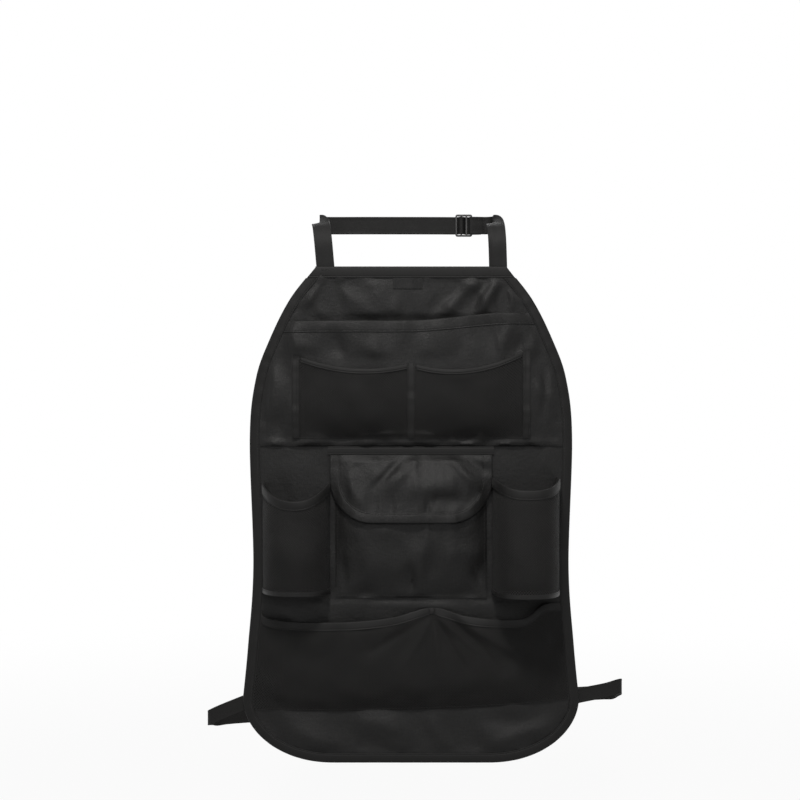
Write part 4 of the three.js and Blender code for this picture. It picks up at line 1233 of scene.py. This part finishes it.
class ORGANIZER_OT_label(bpy.types.Operator):
    """Make the small blank woven label"""
    bl_idname = "organizer.label"
    bl_label = "Blank label"

    def execute(self, context):
        first, last = low("blank_label"), high("blank_label")
        x, z = np.meshgrid(steps(first[0], last[0], 1), steps(first[2], last[2], 1))
        share = (x - first[0]) / (last[0] - first[0])
        crease = 0.3 * (np.abs(x - (last[0] - 4.2)) < 0.6)
        turned_ends = 0.25 * (share < 0.09) + 0.25 * (share > 0.91)
        under = np.maximum(FIRST_LAYER, (PANEL + panel_relief(x, z)).max(axis=0) + GAP)
        places = over(x, z, under + 0.6 + 0.35 * np.sin(math.pi * share) + (crease + turned_ends))
        label = make_cloth("bare_label", places, LABEL)
        settle(label, "label", "blank_label")
        cut_size(places)[0]
        rows = []
        z_line = steps(first[2] + 1, last[2] - 1, 1)
        for at in (first[0] + SEAM_INSET, last[0] - SEAM_INSET):
            column = np.abs(x[0] - at).argmin()
            rows.append((over(at, z_line, under[column] + 1.0), FRONT))
        sew("seam_label", rows, pitch=1.7, wide=0.35)
        return {"FINISHED"}


def hem_place(s, a, b):
    z = upper_top(s * inner_half(UPPER_TOP)) - a
    x = s * inner_half(z)
    return over(x, z, upper_skin(x, z) + b)


class ORGANIZER_OT_upper_pocket(bpy.types.Operator):
    """Make the wide upper pocket and its folded hem"""
    bl_idname = "organizer.upper_pocket"
    bl_label = "Upper pocket"

    def execute(self, context):
        high = UPPER_TOP - UPPER_BOTTOM
        s, t = np.meshgrid(steps(-1, 1, cell() / CHEST_HALF), steps(0, 1, cell() / high))
        z = mix(UPPER_BOTTOM, upper_top(s * inner_half(UPPER_TOP)), t)
        x = s * inner_half(z)
        places = over(x, z, upper_skin(x, z))
        pocket = make_cloth("upper_pocket_cloth", places, CLOTH)
        settle(pocket, "cloth", "upper_pocket")
        hem = make_band("upper_hem_tape", steps(-1, 1, 0.016), folded(UPPER_HEM, UPPER_HEM, CLOTH), hem_place)
        settle(hem, "cloth", "upper_pocket_hem")
        flat, area = cut_size(places)
        line = np.linspace(-0.98, 0.98, 120)
        x = line * inner_half(UPPER_BOTTOM)
        z = np.full(line.shape, UPPER_BOTTOM + 2.5)
        bottom_row = (over(x, z, upper_skin(x, z) + 0.1), FRONT)
        sew("seam_upper_pocket", [hem_seam(hem_place, line, UPPER_HEM), bottom_row])
        return {"FINISHED"}


def upper_net_places(side):
    """Makes place(u, v) for an upper net, with shares of its size, and place(u, a, b) for its mouth."""
    def across(u):
        share = u if side > 0 else 1 - u
        return side * mix(1, NET_OUTER, share), net_top(side, share)

    def on_net(u, v):
        x, top = across(u)
        z = mix(NET_BOTTOM, top, v)
        return over(x, z, net_front(side, x, z))

    def on_mouth(u, a, b):
        x, top = across(u)
        return over(x, top - a, net_front(side, x, top - a) + b)
    return on_net, on_mouth


def tape_place(x, side):
    """Makes place(z, a, b) for an upright tape, which lies level on whichever side stands out further."""
    def place(z, a, b):
        under = np.maximum(net_front(side, x + a, z), net_front(side, x - a, z))
        crimp = ripple(z, seed=83 + int(abs(x)), length=18, height=0.25)
        return over(x + a, z, under + LAYER_GAP * 0.6 + b + crimp)
    return place


class ORGANIZER_OT_upper_nets(bpy.types.Operator):
    """Make the two net pockets on the upper pocket, with their bound mouths and upright tapes"""
    bl_idname = "organizer.upper_nets"
    bl_label = "Upper nets"

    def execute(self, context):
        rows = []
        for side, word in ((-1, "left"), (1, "right")):
            top, sag = NET_TOPS[side]
            wide, high = NET_OUTER * 1.03, (NET_INNER_TOP + top) / 2 - sag * 0.6 - NET_BOTTOM
            place, edge = upper_net_places(side)
            mesh, flat, area = net_piece(f"upper_net_{word}", f"net_pocket_{word}", wide, high, place)
            taped = SIDE_TAPE_WIDE / 2 / NET_OUTER
            across = steps(taped + 0.01, 1 - taped, 0.022)
            bound = make_band(f"upper_net_tape_{word}", across, folded(NET_HEM, NET_HEM, NET), edge)
            settle(bound, "tape", f"net_binding_{word}")
            rows.append(hem_seam(edge, across, NET_HEM))
        for node, (x, side, top) in UPRIGHTS.items():
            z = steps(NET_BOTTOM, top + 1, 2.5)
            place = tape_place(x, side)
            strip = make_band(f"{node}_sewn", z, flat_tape(SIDE_TAPE_WIDE, TAPE), place)
            settle(strip, "tape", node)
            for a in (-SIDE_TAPE_WIDE / 2 + 1.5, SIDE_TAPE_WIDE / 2 - 1.5):
                rows.append((on_tape(place, z[1:-1], a, TAPE - 0.2), FRONT))
        sew("seam_upper_nets", rows)
        return {"FINISHED"}


def strip_place(x, a, b):
    z = STRIP_TOP - STRIP_HIGH / 2 + a
    return over(x, z, FIRST_LAYER + b + 0.3 + ripple(x, seed=84, length=40, height=0.5) * (b > 0))


def flap_line():
    """The flap's edge from its top left round its lower corners to its top right, and its outward ways."""
    turn = np.linspace(math.pi, math.pi * 1.5, 26)
    side = steps(FLAP_TOP, FLAP_BOTTOM + FLAP_ROUND, 3)[:-1]
    left = np.stack([np.full(side.shape, -FLAP_HALF), side], -1)
    arc = np.stack([-FLAP_HALF + FLAP_ROUND + FLAP_ROUND * np.cos(turn),
                    FLAP_BOTTOM + FLAP_ROUND + FLAP_ROUND * np.sin(turn)], -1)
    half = np.vstack([left, arc])
    flat = steps(half[-1, 0], -half[-1, 0], 3)[1:-1]
    line = np.vstack([half, np.stack([flat, np.full(flat.shape, FLAP_BOTTOM)], -1), (half * [-1, 1])[::-1]])
    along = unit(np.gradient(line, axis=0))
    return line, np.stack([along[:, 1], -along[:, 0]], -1)


def flap_edge_place(station, a, b):
    x, z, far = inside(flap_line(), station, a)
    z = np.minimum(z, FLAP_TOP)
    return over(x, z, flap_skin(x, z) + b + ripple(far, seed=85, length=20, height=0.12))


def make_bag():
    """The flap pocket's bag, and the rows of the seam round it."""
    x, z = np.meshgrid(steps(-POCKET_HALF, POCKET_HALF, cell()), steps(POCKET_BOTTOM, MOUTH_Z, cell()))
    places = over(x, z, bag_skin(x, z))
    bag = make_cloth("bag_cloth", places, CLOTH)
    settle(bag, "cloth", "flap_pocket")
    cut_size(places)[0]
    edge, bottom = POCKET_HALF - 3, POCKET_BOTTOM + 3
    corners = [(-edge, MOUTH_Z), (-edge, bottom), (edge, bottom), (edge, MOUTH_Z)]
    rows = []
    for (x0, z0), (x1, z1) in zip(corners, corners[1:]):
        x, z = np.linspace(x0, x1, 60), np.linspace(z0, z1, 60)
        rows.append((over(x, z, bag_skin(x, z) + 0.1), FRONT))
    return bag, rows


def make_flap():
    """The flap with the tape folded over its edge, and the row of its seam."""
    round_z = FLAP_BOTTOM + FLAP_ROUND * (1 - np.sin(np.linspace(math.pi / 2, 0, 18)))
    z = np.concatenate([round_z, steps(FLAP_BOTTOM + FLAP_ROUND, FLAP_TOP, FINE_STEP)[1:]])
    s, z = np.meshgrid(steps(-1, 1, FINE_STEP / FLAP_HALF), z)
    x = s * flap_half(z)
    places = over(x, z, flap_skin(x, z))
    flap = make_cloth("flap_cloth", places, CLOTH)
    settle(flap, "cloth", "flap")
    stations = np.arange(len(flap_line()[0]))
    bound = make_band("flap_tape", stations, folded(FLAP_HEM, FLAP_HEM - 2, CLOTH), flap_edge_place)
    settle(bound, "cloth", "flap_binding")
    flat, area = cut_size(places)
    return hem_seam(flap_edge_place, stations, FLAP_HEM)


def make_patches():
    """The loop patch on the bag and the hook patch behind the flap, each following its own cloth."""
    first, last = low("loop_patch"), high("loop_patch")
    x, z = np.meshgrid(steps(first[0], last[0], 2), steps(first[2], last[2], 2))
    for name, node, depth in (("loop_fleece", "loop_patch", bag_front(x, z) + GAP + PATCH_THICK),
                              ("hook_fleece", "hook_patch", flap_skin(x, z) - CLOTH - 0.15)):
        places = over(x, z, depth)
        patch = make_cloth(name, places, PATCH_THICK)
        settle(patch, "patch", node)
        cut_size(places)[0]


class ORGANIZER_OT_flap_pocket(bpy.types.Operator):
    """Make the middle pocket with its flap, binding, strip and closure"""
    bl_idname = "organizer.flap_pocket"
    bl_label = "Flap pocket"

    def execute(self, context):
        bag, bag_rows = make_bag()
        flap_row = make_flap()
        along = steps(-STRIP_HALF, STRIP_HALF, 3)
        strip = make_band("flap_strip_tape", along, flat_tape(STRIP_HIGH, TAPE), strip_place)
        settle(strip, "tape", "flap_strip")
        make_patches()
        strip_rows = [(on_tape(strip_place, along, a, TAPE - 0.2), FRONT)
                      for a in (1.5 - STRIP_HIGH / 2, STRIP_HIGH / 2 - 1.5)]
        sew("seam_flap_pocket", strip_rows + [flap_row] + bag_rows)
        return {"FINISHED"}


def side_angles(word):
    """Angles round a side pocket's wall for shares of the way along it from its left end, and its length."""
    turn = np.linspace(math.pi, 0, 400)
    far = lengths(side_place(word, turn, np.full(turn.shape, SIDE_MIDDLE_Z), 0))
    return far / far[-1], turn, far[-1]


def side_places(word):
    """Makes place(u, v) for a side pocket's net, with shares of its size, and place(u, a, b) for its rim."""
    share, turn, _ = side_angles(word)

    def on_net(u, v):
        angle = np.interp(u, share, turn)
        z = mix(SIDE_BOTTOM + BASE_THICK + GAP, side_rim(word, angle), v)
        return side_place(word, angle, z, 0)

    def on_rim(u, a, b):
        angle = np.interp(u, share, turn)
        return side_place(word, angle, side_rim(word, angle) - a, -b)
    return on_net, on_rim


def side_level(word, up, out):
    """Even places round a side pocket at a height over its base and a distance out of its wall."""
    share, turn, _ = side_angles(word)
    angle = np.interp(np.linspace(0, 1, 61), share, turn)
    return side_place(word, angle, np.full(angle.shape, SIDE_BOTTOM + up), -out)


def side_base(word):
    """Rows of places on a side pocket's base, from the panel to the front and a little way up the wall."""
    front = side_level(word, 0.0, 0.4)
    back = front.copy()
    back[:, 1] = flank(back[:, 0]) - FIRST_LAYER
    rows = [mix(back, front, t) - [0, 0, BASE_SAG * math.sin(math.pi * t)] for t in np.linspace(0, 1, 22)]
    rows = np.array(rows + [side_level(word, up, 0.5) for up in (1.4, 2.8, BASE_SEAM, 5.6)])
    far = lengths(rows[:, 30])[:, None]
    return rows, np.stack([rows[..., 0], np.broadcast_to(far, rows.shape[:2])], -1)


class ORGANIZER_OT_side_pockets(bpy.types.Operator):
    """Make the two standing side pockets of net, with bound rims and cloth bases"""
    bl_idname = "organizer.side_pockets"
    bl_label = "Side pockets"

    def execute(self, context):
        rows = []
        for word, pocket in SIDE_POCKETS.items():
            wide, high = side_angles(word)[2], pocket.top - pocket.sag * 0.7 - SIDE_BOTTOM
            place, edge = side_places(word)
            mesh, flat, area = net_piece(f"side_wall_{word}", f"side_net_{word}", wide, high, place)
            across = steps(0.004, 0.996, FINE_STEP / wide)
            rim = make_band(f"side_tape_{word}", across, folded(RIM_HIGH, RIM_HIGH, NET), edge)
            settle(rim, "tape", f"side_rim_{word}")
            places, uv = side_base(word)
            base = make_cloth(f"side_floor_{word}", places, CLOTH, uv)
            settle(base, "cloth", f"side_base_{word}")
            flat, area = cut_size(places)
            inset = RIM_HIGH - SEAM_INSET
            out = on_tape(edge, across, inset, 4) - on_tape(edge, across, inset, 0)
            rows.append(hem_seam(edge, across, RIM_HIGH, out))
            away = unit(side_level(word, BASE_SEAM, 4) - side_level(word, BASE_SEAM, 0))
            rows.append((places[-2] + 0.15 * away, away))
        sew("seam_side_pockets", rows)
        return {"FINISHED"}


def lower_net_place(u, v):
    return over(*lower_place(2 * u - 1, v))


def lower_edge_place(s, a, b):
    near = np.exp(-((s - TACK) / TACK_REACH) ** 2)
    x, z, depth = lower_place(s, 1 - a * (1 - 0.3 * near) / (lower_top(s) - lower_bottom(s)))
    gather = 0.9 * near * np.cos((s - TACK) * TACK_PLEATS)
    crimp = ripple(s * LOWER_HALF, seed=86, length=34, height=0.5)
    return over(x, z, depth + b + (gather + crimp) * (b > 0))


class ORGANIZER_OT_lower_pocket(bpy.types.Operator):
    """Make the wide lower net pocket with its loose bound edge and the tack that pins it"""
    bl_idname = "organizer.lower_pocket"
    bl_label = "Lower pocket"

    def execute(self, context):
        wide, high = 2 * float(inner_half(LOWER_MIDDLE_Z)), LOWER_TOP - LOWER_BOTTOM - 3
        mesh, flat, area = net_piece("lower_net_mesh", "lower_net", wide, high, lower_net_place)
        folded_tape = folded(LOWER_HEM, LOWER_HEM, NET)
        bound = make_band("lower_tape", steps(-1, 1, 0.012), folded_tape, lower_edge_place)
        settle(bound, "tape", "lower_net_binding")
        line = np.linspace(-0.985, 0.985, 160)
        rows = [hem_seam(lower_edge_place, line, LOWER_HEM)]
        for s in np.linspace(TACK - 0.012, TACK + 0.012, 5):
            tack = lower_edge_place(np.full(9, s), np.linspace(1, LOWER_HEM - 1, 9), np.full(9, TAPE + 0.1))
            rows.append((tack, FRONT))
        x, z, depth = lower_place(line, 0.022)
        rows.append((over(x, z, depth + 0.2), FRONT))
        sew("seam_lower_pocket", rows)
        return {"FINISHED"}


def centripetal(points, k):
    """A smooth curve through the points. k counts from 0 at the first to 1 at the second and so on."""
    p = np.asarray(points, float)
    p = np.vstack([2 * p[0] - p[1], p, 2 * p[-1] - p[-2]])
    i = np.minimum(np.asarray(k).astype(int), len(points) - 2)
    w = (k - i)[:, None]
    a, b, c, d = p[i], p[i + 1], p[i + 2], p[i + 3]
    d0, d1, d2 = (np.linalg.norm(y - x, axis=1, keepdims=True) ** 0.5 for x, y in ((a, b), (b, c), (c, d)))
    start = ((b - a) / d0 - (c - a) / (d0 + d1) + (c - b) / d1) * d1
    end = ((c - b) / d1 - (d - b) / (d1 + d2) + (d - c) / d2) * d1
    return b + start * w + (3 * c - 3 * b - 2 * start - end) * w ** 2 + (2 * b - 2 * c + start + end) * w ** 3


def strap_frames(points, each=8):
    """Places along a strap, and its ways across and out of its face.

    Each point is x, y, z and the way that the strap's width lies: along X at 0, upright at 1.
    """
    k = np.linspace(0, len(points) - 1, (len(points) - 1) * each + 1)
    at = centripetal([p[:3] for p in points], k)
    edge = np.interp(k, np.arange(len(points)), [p[3] for p in points]) * math.pi / 2
    along = unit(np.gradient(at, axis=0))
    hint = np.stack([np.cos(edge), 0 * edge, np.sin(edge)], -1)
    across = unit(hint - along * (hint * along).sum(1, keepdims=True))
    return at, across, np.cross(along, across)


def make_strap(name, points, wide, thick, word, node):
    """A strap along its points, with the finish of that name."""
    at, across, normal = strap_frames(points)
    section = webbing(wide, thick)
    rings = at[:, None] + across[:, None] * section[None, :, :1] + normal[:, None] * section[None, :, 1:]
    uv = np.stack(np.broadcast_arrays(lengths(at)[:, None], section[:, 0]), -1)
    settle(make_sweep(name, rings, uv), word, node, angle=70)


def strap_to_wrap(base, wrap):
    """From the seam behind the top binding, back over the crest, then on edge round the wrap's outer side."""
    out = math.copysign(1, wrap)
    beside = wrap + out * WRAP_REACH
    rise = [(0.1, STRAP_BEHIND, PANEL_TOP - STRAP_SEWN / 2, 0), (0.3, STRAP_BEHIND, PANEL_TOP + 10, 0),
            (0.5, STRAP_BEHIND + CREST_ROUND * 0.08, CREST_Z - CREST_ROUND * 0.75, 0),
            (0.7, STRAP_BEHIND + CREST_ROUND * 0.4, CREST_Z - CREST_ROUND * 0.2, 0),
            (0.85, STRAP_BEHIND + CREST_ROUND * 0.8, CREST_Z + 0.5, 0.1),
            (0.95, mix(CREST_ROUND, WRAP_Y, 0.25), STRAP_Z, 0.55)]
    ring = WRAP_REACH * math.sqrt(0.5)
    return ([(base, STRAP_BEHIND, PANEL_TOP - STRAP_SEWN, 0)]
            + [(mix(base, beside, share), y, z, edge) for share, y, z, edge in rise]
            + [(beside, mix(CREST_ROUND, WRAP_Y, share), STRAP_Z, 1) for share in (0.55, 0.8, 1)]
            + [(wrap + out * ring, WRAP_Y + ring, STRAP_Z, 1), (wrap, CROSS_Y, STRAP_Z, 1)])


def weave_through(bars, sides, thick):
    """Places of a strap that weaves over a slider's bars, behind a bar at 1 and before it at -1."""
    aside = SLIDER_THICK / 2 + 2 * GAP + thick / 2
    reach = (SLIDER_BAR / 2 + GAP) * math.copysign(1, bars[1] - bars[0])
    spots = []
    for i, x in enumerate(bars):
        spots += [(x - reach, sides[i] * aside), (x + reach, sides[i] * aside)]
        if i + 1 < len(bars):
            spots.append((mix(x, bars[i + 1], 0.5), 0))
    return spots


def round_bar(x, side, half_wide, half_thick, thick):
    """Places of a strap's end that comes in from one side, turns round a bar and lies back on itself."""
    clear = 2 * GAP + thick / 2
    pair = (thick + GAP) / 2
    half = [(x + side * FOLDED_END, pair), (x + side * FOLDED_END / 2, pair),
            (x + side * half_wide, half_thick + clear), (x, half_thick + clear),
            (x - side * (half_wide + 0.7 * clear), half_thick + 0.6 * clear)]
    return half + [(x - side * (half_wide + 1.1 * clear), 0)] + [(a, -b) for a, b in half[::-1]]


def on_straps_line(spots):
    """Places behind the wraps, where the two straps meet, on edge."""
    return [(x, CROSS_Y + y, STRAP_Z, 1) for x, y in spots]


def cross_seam(centre, across, along, normal, wide, long):
    """A sewn box with a cross in it, as rows for sew()."""
    middle = np.asarray(centre, float)
    aside, ahead = np.asarray(across) * wide / 2, np.asarray(along) * long / 2
    corners = [middle - aside - ahead, middle + aside - ahead, middle + aside + ahead, middle - aside + ahead]
    pairs = [(0, 1), (1, 2), (2, 3), (3, 0), (0, 2), (1, 3)]
    return [(np.linspace(corners[a], corners[b], 8), normal) for a, b in pairs]


def upright_seam(x, y, z, wide, count, way):
    """A row for sew() across a strap that lies on edge."""
    heights = z + np.linspace(2 - wide / 2, wide / 2 - 2, count)
    return np.stack(np.broadcast_arrays(x, y, heights), -1), way


class ORGANIZER_OT_upper_straps(bpy.types.Operator):
    """Make the two webbing straps, their wraps and the slider that joins them"""
    bl_idname = "organizer.upper_straps"
    bl_label = "Upper straps"

    def execute(self, context):
        pitch = SLIDER_BAR + SLIDER_SLOT
        bars = [SLIDER_X + (i - 1.5) * pitch for i in range(4)]
        woven = weave_through(bars[:3], (1, -1, 1), STRAP_THICK)
        aside = woven[0][1]
        tail = [(mix(bars[2], bars[3], 0.8), aside + STRAP_THICK), (bars[3], aside + 2 * STRAP_THICK),
                (bars[3] + STRAP_TAIL, aside + STRAP_THICK)]
        lead = [(mix(LEFT_WRAP_X, SLIDER_X, 0.3), 0), (mix(LEFT_WRAP_X, SLIDER_X, 0.8), aside / 2)]
        route = strap_to_wrap(LEFT_STRAP_X, LEFT_WRAP_X) + on_straps_line(lead + woven + tail)
        make_strap("strap_left", route, STRAP_WIDE, STRAP_THICK, "webbing", "strap_top_left")
        looped = round_bar(bars[3], 1, SLIDER_BAR / 2, SLIDER_THICK / 2, STRAP_THICK)[::-1]
        route = strap_to_wrap(RIGHT_STRAP_X, RIGHT_WRAP_X) + on_straps_line(looped[1:-1])
        make_strap("strap_right", route, STRAP_WIDE, STRAP_THICK, "webbing", "strap_top_right")
        moulded("top_slider", "slider_upper", 0.45)

        rows = []
        for x in (LEFT_STRAP_X, RIGHT_STRAP_X):
            centre = (x, STRAP_BEHIND + STRAP_THICK / 2 + 0.1, PANEL_TOP - STRAP_SEWN / 2 - 4)
            rows += cross_seam(centre, (1, 0, 0), (0, 0, 1), REAR, STRAP_WIDE - 6, STRAP_SEWN - 14)
        for reach in (9, 15):
            y = CROSS_Y - STRAP_THICK * 1.45
            rows.append(upright_seam(bars[3] + reach, y, STRAP_Z, STRAP_WIDE, 8, FRONT))
        sew("seam_upper_straps", rows)
        return {"FINISHED"}


def far_z(x):
    """The belts' height on the far side, which runs straight from corner to corner."""
    share = (x - LEFT_BELT.side_x) / (RIGHT_BELT.side_x - LEFT_BELT.side_x)
    return mix(LEFT_BELT.corner_z, RIGHT_BELT.corner_z, share)


def belt_behind(x):
    """The Y of a belt's middle behind the panel's side binding."""
    return float(flank(x)) + GAP + TAPE + GAP + BELT_THICK / 2


def belt_seam(belt):
    """Half the panel's width at a belt's seam, and the slope of the belt there."""
    edge = float(half_width(belt.seam_z))
    return edge, (belt.side_z - belt.seam_z) / (abs(belt.side_x) - edge)


def belt_route(belt):
    """From the seam behind the panel's lower corner, back along the side and round to the rear."""
    edge, slope = belt_seam(belt)
    side, x, start = belt.side, belt.side_x, belt_behind(edge)
    lead, back = start + BELT_LEAD, BELT_FAR_Y - BELT_TURN
    route = [(side * (edge + d), belt_behind(edge + d), belt.seam_z + slope * d, 1)
             for d in (-BELT_SEWN, -BELT_SEWN / 3, 6)]
    route += [(mix(side * edge, x, 0.65), start + BELT_LEAD / 4, mix(belt.seam_z, belt.side_z, 0.65), 1),
              (mix(side * edge, x, 0.93), start + BELT_LEAD / 2, belt.side_z, 1)]
    route += [(x, y, mix(belt.side_z, belt.corner_z, share), 1)
              for y, share in ((lead, 0.15), (mix(lead, back, 0.5), 0.5), (back, 0.85))]
    turned = x - side * BELT_TURN
    return route + [(x - side * 4, BELT_FAR_Y - 4, belt.corner_z, 1), (turned, BELT_FAR_Y, far_z(turned), 1)]


def on_far_side(spots):
    """Places on the far side, on edge."""
    return [(x, BELT_FAR_Y + y, far_z(x), 1) for x, y in spots]


class ORGANIZER_OT_belts(bpy.types.Operator):
    """Make the two elastic belts, their side release buckle and slider"""
    bl_idname = "organizer.belts"
    bl_label = "Belts"

    def execute(self, context):
        socket_bar = BUCKLE_X - BUCKLE_LONG / 2 + BUCKLE_BAR / 2
        prong_bar = BUCKLE_X + BUCKLE_LONG / 2 + GAP + BUCKLE_TAIL - BUCKLE_BAR / 2
        turned = round_bar(socket_bar, -1, BUCKLE_BAR / 2, BAR_THICK / 2, BELT_THICK)
        route = belt_route(LEFT_BELT) + on_far_side([(LEFT_BELT.side_x / 2, 0)] + turned)
        make_strap("elastic_left", route, BELT_WIDE, BELT_THICK, "elastic", "belt_left")
        bars = [BELT_SLIDER_X + i * (SLIDER_BAR + SLIDER_SLOT) for i in (1, 0, -1)]
        woven = weave_through(bars, (1, -1, 1), BELT_THICK)
        turned = round_bar(prong_bar, 1, BUCKLE_BAR / 2, BAR_THICK / 2, BELT_THICK)
        route = belt_route(RIGHT_BELT) + on_far_side(woven + turned)
        make_strap("elastic_right", route, BELT_WIDE, BELT_THICK, "elastic", "belt_right")
        moulded("belt_slider", "slider_belt", 0.45)
        moulded("buckle_socket", "buckle_body", 0.7)
        moulded("buckle_prong", "buckle_plug", 0.5)

        rows = []
        for belt in (LEFT_BELT, RIGHT_BELT):
            edge, slope = belt_seam(belt)
            along = unit(np.array([belt.side, 0, slope]))
            x = edge - BELT_SEWN / 2
            y, z = belt_behind(x) + BELT_THICK / 2 + 0.3, belt.seam_z - along[2] * BELT_SEWN / 2
            rows += cross_seam((belt.side * x, y, z), (0, 0, 1), along, REAR, BELT_WIDE - 6, BELT_SEWN - 6)
        for bar, way in ((socket_bar, -1), (prong_bar, 1)):
            for reach in (11, 17):
                x, y = bar + way * reach, BELT_FAR_Y + BELT_THICK + GAP / 2 + 0.3
                rows.append(upright_seam(x, y, far_z(x), BELT_WIDE, 7, REAR))
        sew("seam_belts", rows)
        return {"FINISHED"}


def soft_lamp(name, place, target, size, power, warmth):
    """A round area lamp at a place, turned to a target."""
    lamp = bpy.data.lights.new(name, "AREA")
    lamp.shape = "DISK"
    lamp.size = size
    lamp.energy = power
    lamp.color = (1, 0.5 + 0.5 * warmth, warmth)
    obj = bpy.data.objects.new(name, lamp)
    bpy.context.scene.collection.objects.link(obj)
    obj.location = place
    obj.rotation_euler = (Vector(target) - Vector(place)).to_track_quat("-Z", "Y").to_euler()


def blend_surfaces(tree, factor, plain, seen, output):
    """Feeds an output with the plain surface at a factor of 0 and the seen one at 1."""
    join = tree.nodes.new("ShaderNodeMixShader")
    for k, socket in enumerate((factor, plain.outputs[0], seen.outputs[0])):
        tree.links.new(socket, join.inputs[k])
    tree.links.new(join.outputs[0], tree.nodes[output].inputs["Surface"])


def seen_directly(tree):
    """1 for rays from the camera, and in gloss and through clear things, and 0 for light on surfaces."""
    path = tree.nodes.new("ShaderNodeLightPath")
    total = path.outputs["Is Camera Ray"]
    for name in ("Is Glossy Ray", "Is Transmission Ray"):
        join = tree.nodes.new("ShaderNodeMath")
        join.operation = "MAXIMUM"
        tree.links.new(total, join.inputs[0])
        tree.links.new(path.outputs[name], join.inputs[1])
        total = join.outputs[0]
    return total


def make_floor():
    """A floor that glows white where it is looked at, and a little less so near its middle."""
    bpy.ops.mesh.primitive_plane_add(size=FLOOR_SIZE, location=(0, 0, FLOOR_Z))
    floor = bpy.context.active_object
    floor.name = "floor"
    finish = Finish("floor", Base_Color=(0.3, 0.3, 0.3, 1), Roughness=0.9)
    glow = finish.tree.nodes.new("ShaderNodeEmission")
    where = finish.node("ShaderNodeTexCoord", {}, {}, 3)
    away = finish.node("ShaderNodeVectorMath", {"operation": "LENGTH"}, {0: where}, 1)
    fade = finish.node("ShaderNodeMapRange", {"interpolation_type": "SMOOTHSTEP"},
                       {"Value": away, "From Min": FLOOR_FADE[0], "From Max": FLOOR_FADE[1],
                        "To Min": FLOOR_GLOW, "To Max": 1.0})
    factor = fade * Socket(finish, seen_directly(finish.tree))
    blend_surfaces(finish.tree, factor.socket, finish.surface, glow, "Material Output")
    floor.data.materials.append(finish.material)


def make_world():
    """A white world where it is looked at, which lights the organizer only dimly."""
    world = bpy.data.worlds.new("studio")
    bpy.context.scene.world = world
    world.use_nodes = True
    tree = world.node_tree
    light, white = tree.nodes["Background"], tree.nodes.new("ShaderNodeBackground")
    light.inputs["Color"].default_value = WHITE
    light.inputs["Strength"].default_value = WORLD_LIGHT
    white.inputs["Color"].default_value = WHITE
    blend_surfaces(tree, seen_directly(tree), light, white, "World Output")


def make_camera():
    """The camera, level and square to the panel as in the photo."""
    camera = bpy.data.cameras.new("camera")
    camera.lens = LENS
    camera.sensor_width = SENSOR
    view = bpy.data.objects.new("camera", camera)
    bpy.context.scene.collection.objects.link(view)
    view.location = CAMERA_PLACE
    view.rotation_euler = (math.pi / 2, 0, 0)
    bpy.context.scene.camera = view


class ORGANIZER_OT_stage(bpy.types.Operator):
    """Make the floor, the soft studio light and the camera"""
    bl_idname = "organizer.stage"
    bl_label = "Stage"

    def execute(self, context):
        make_floor()
        make_world()
        for name, values in LAMPS.items():
            soft_lamp(name, *values)
        make_camera()
        context.scene.view_settings.view_transform = "Standard"
        return {"FINISHED"}


class ORGANIZER_PT_panel(bpy.types.Panel):
    """The organizer's sizes, colours and steps"""
    bl_idname = "ORGANIZER_PT_panel"
    bl_label = "Seat Back Organizer"
    bl_space_type = "VIEW_3D"
    bl_region_type = "UI"
    bl_category = "Organizer"

    def draw(self, context):
        for group in (context.scene.organizer_sizes, context.scene.organizer_colours):
            for key in group.__annotations__:
                self.layout.prop(group, key)
        for step in STEPS:
            self.layout.operator(step.bl_idname)


STEPS = (
    ORGANIZER_OT_stage, ORGANIZER_OT_back_panel, ORGANIZER_OT_edge_bindings, ORGANIZER_OT_label,
    ORGANIZER_OT_upper_pocket, ORGANIZER_OT_upper_nets, ORGANIZER_OT_flap_pocket, ORGANIZER_OT_side_pockets,
    ORGANIZER_OT_lower_pocket, ORGANIZER_OT_upper_straps, ORGANIZER_OT_belts,
)
CLASSES = (OrganizerSizes, OrganizerColours, *STEPS, ORGANIZER_PT_panel)


def register():
    for item in CLASSES:
        bpy.utils.register_class(item)
    bpy.types.Scene.organizer_sizes = PointerProperty(type=OrganizerSizes)
    bpy.types.Scene.organizer_colours = PointerProperty(type=OrganizerColours)


def unregister():
    del bpy.types.Scene.organizer_colours
    del bpy.types.Scene.organizer_sizes
    for item in reversed(CLASSES):
        bpy.utils.unregister_class(item)


def main():
    register()
    for step in STEPS:
        group, name = step.bl_idname.split(".")
        getattr(getattr(bpy.ops, group), name)()


if __name__ == "__main__":
    main()
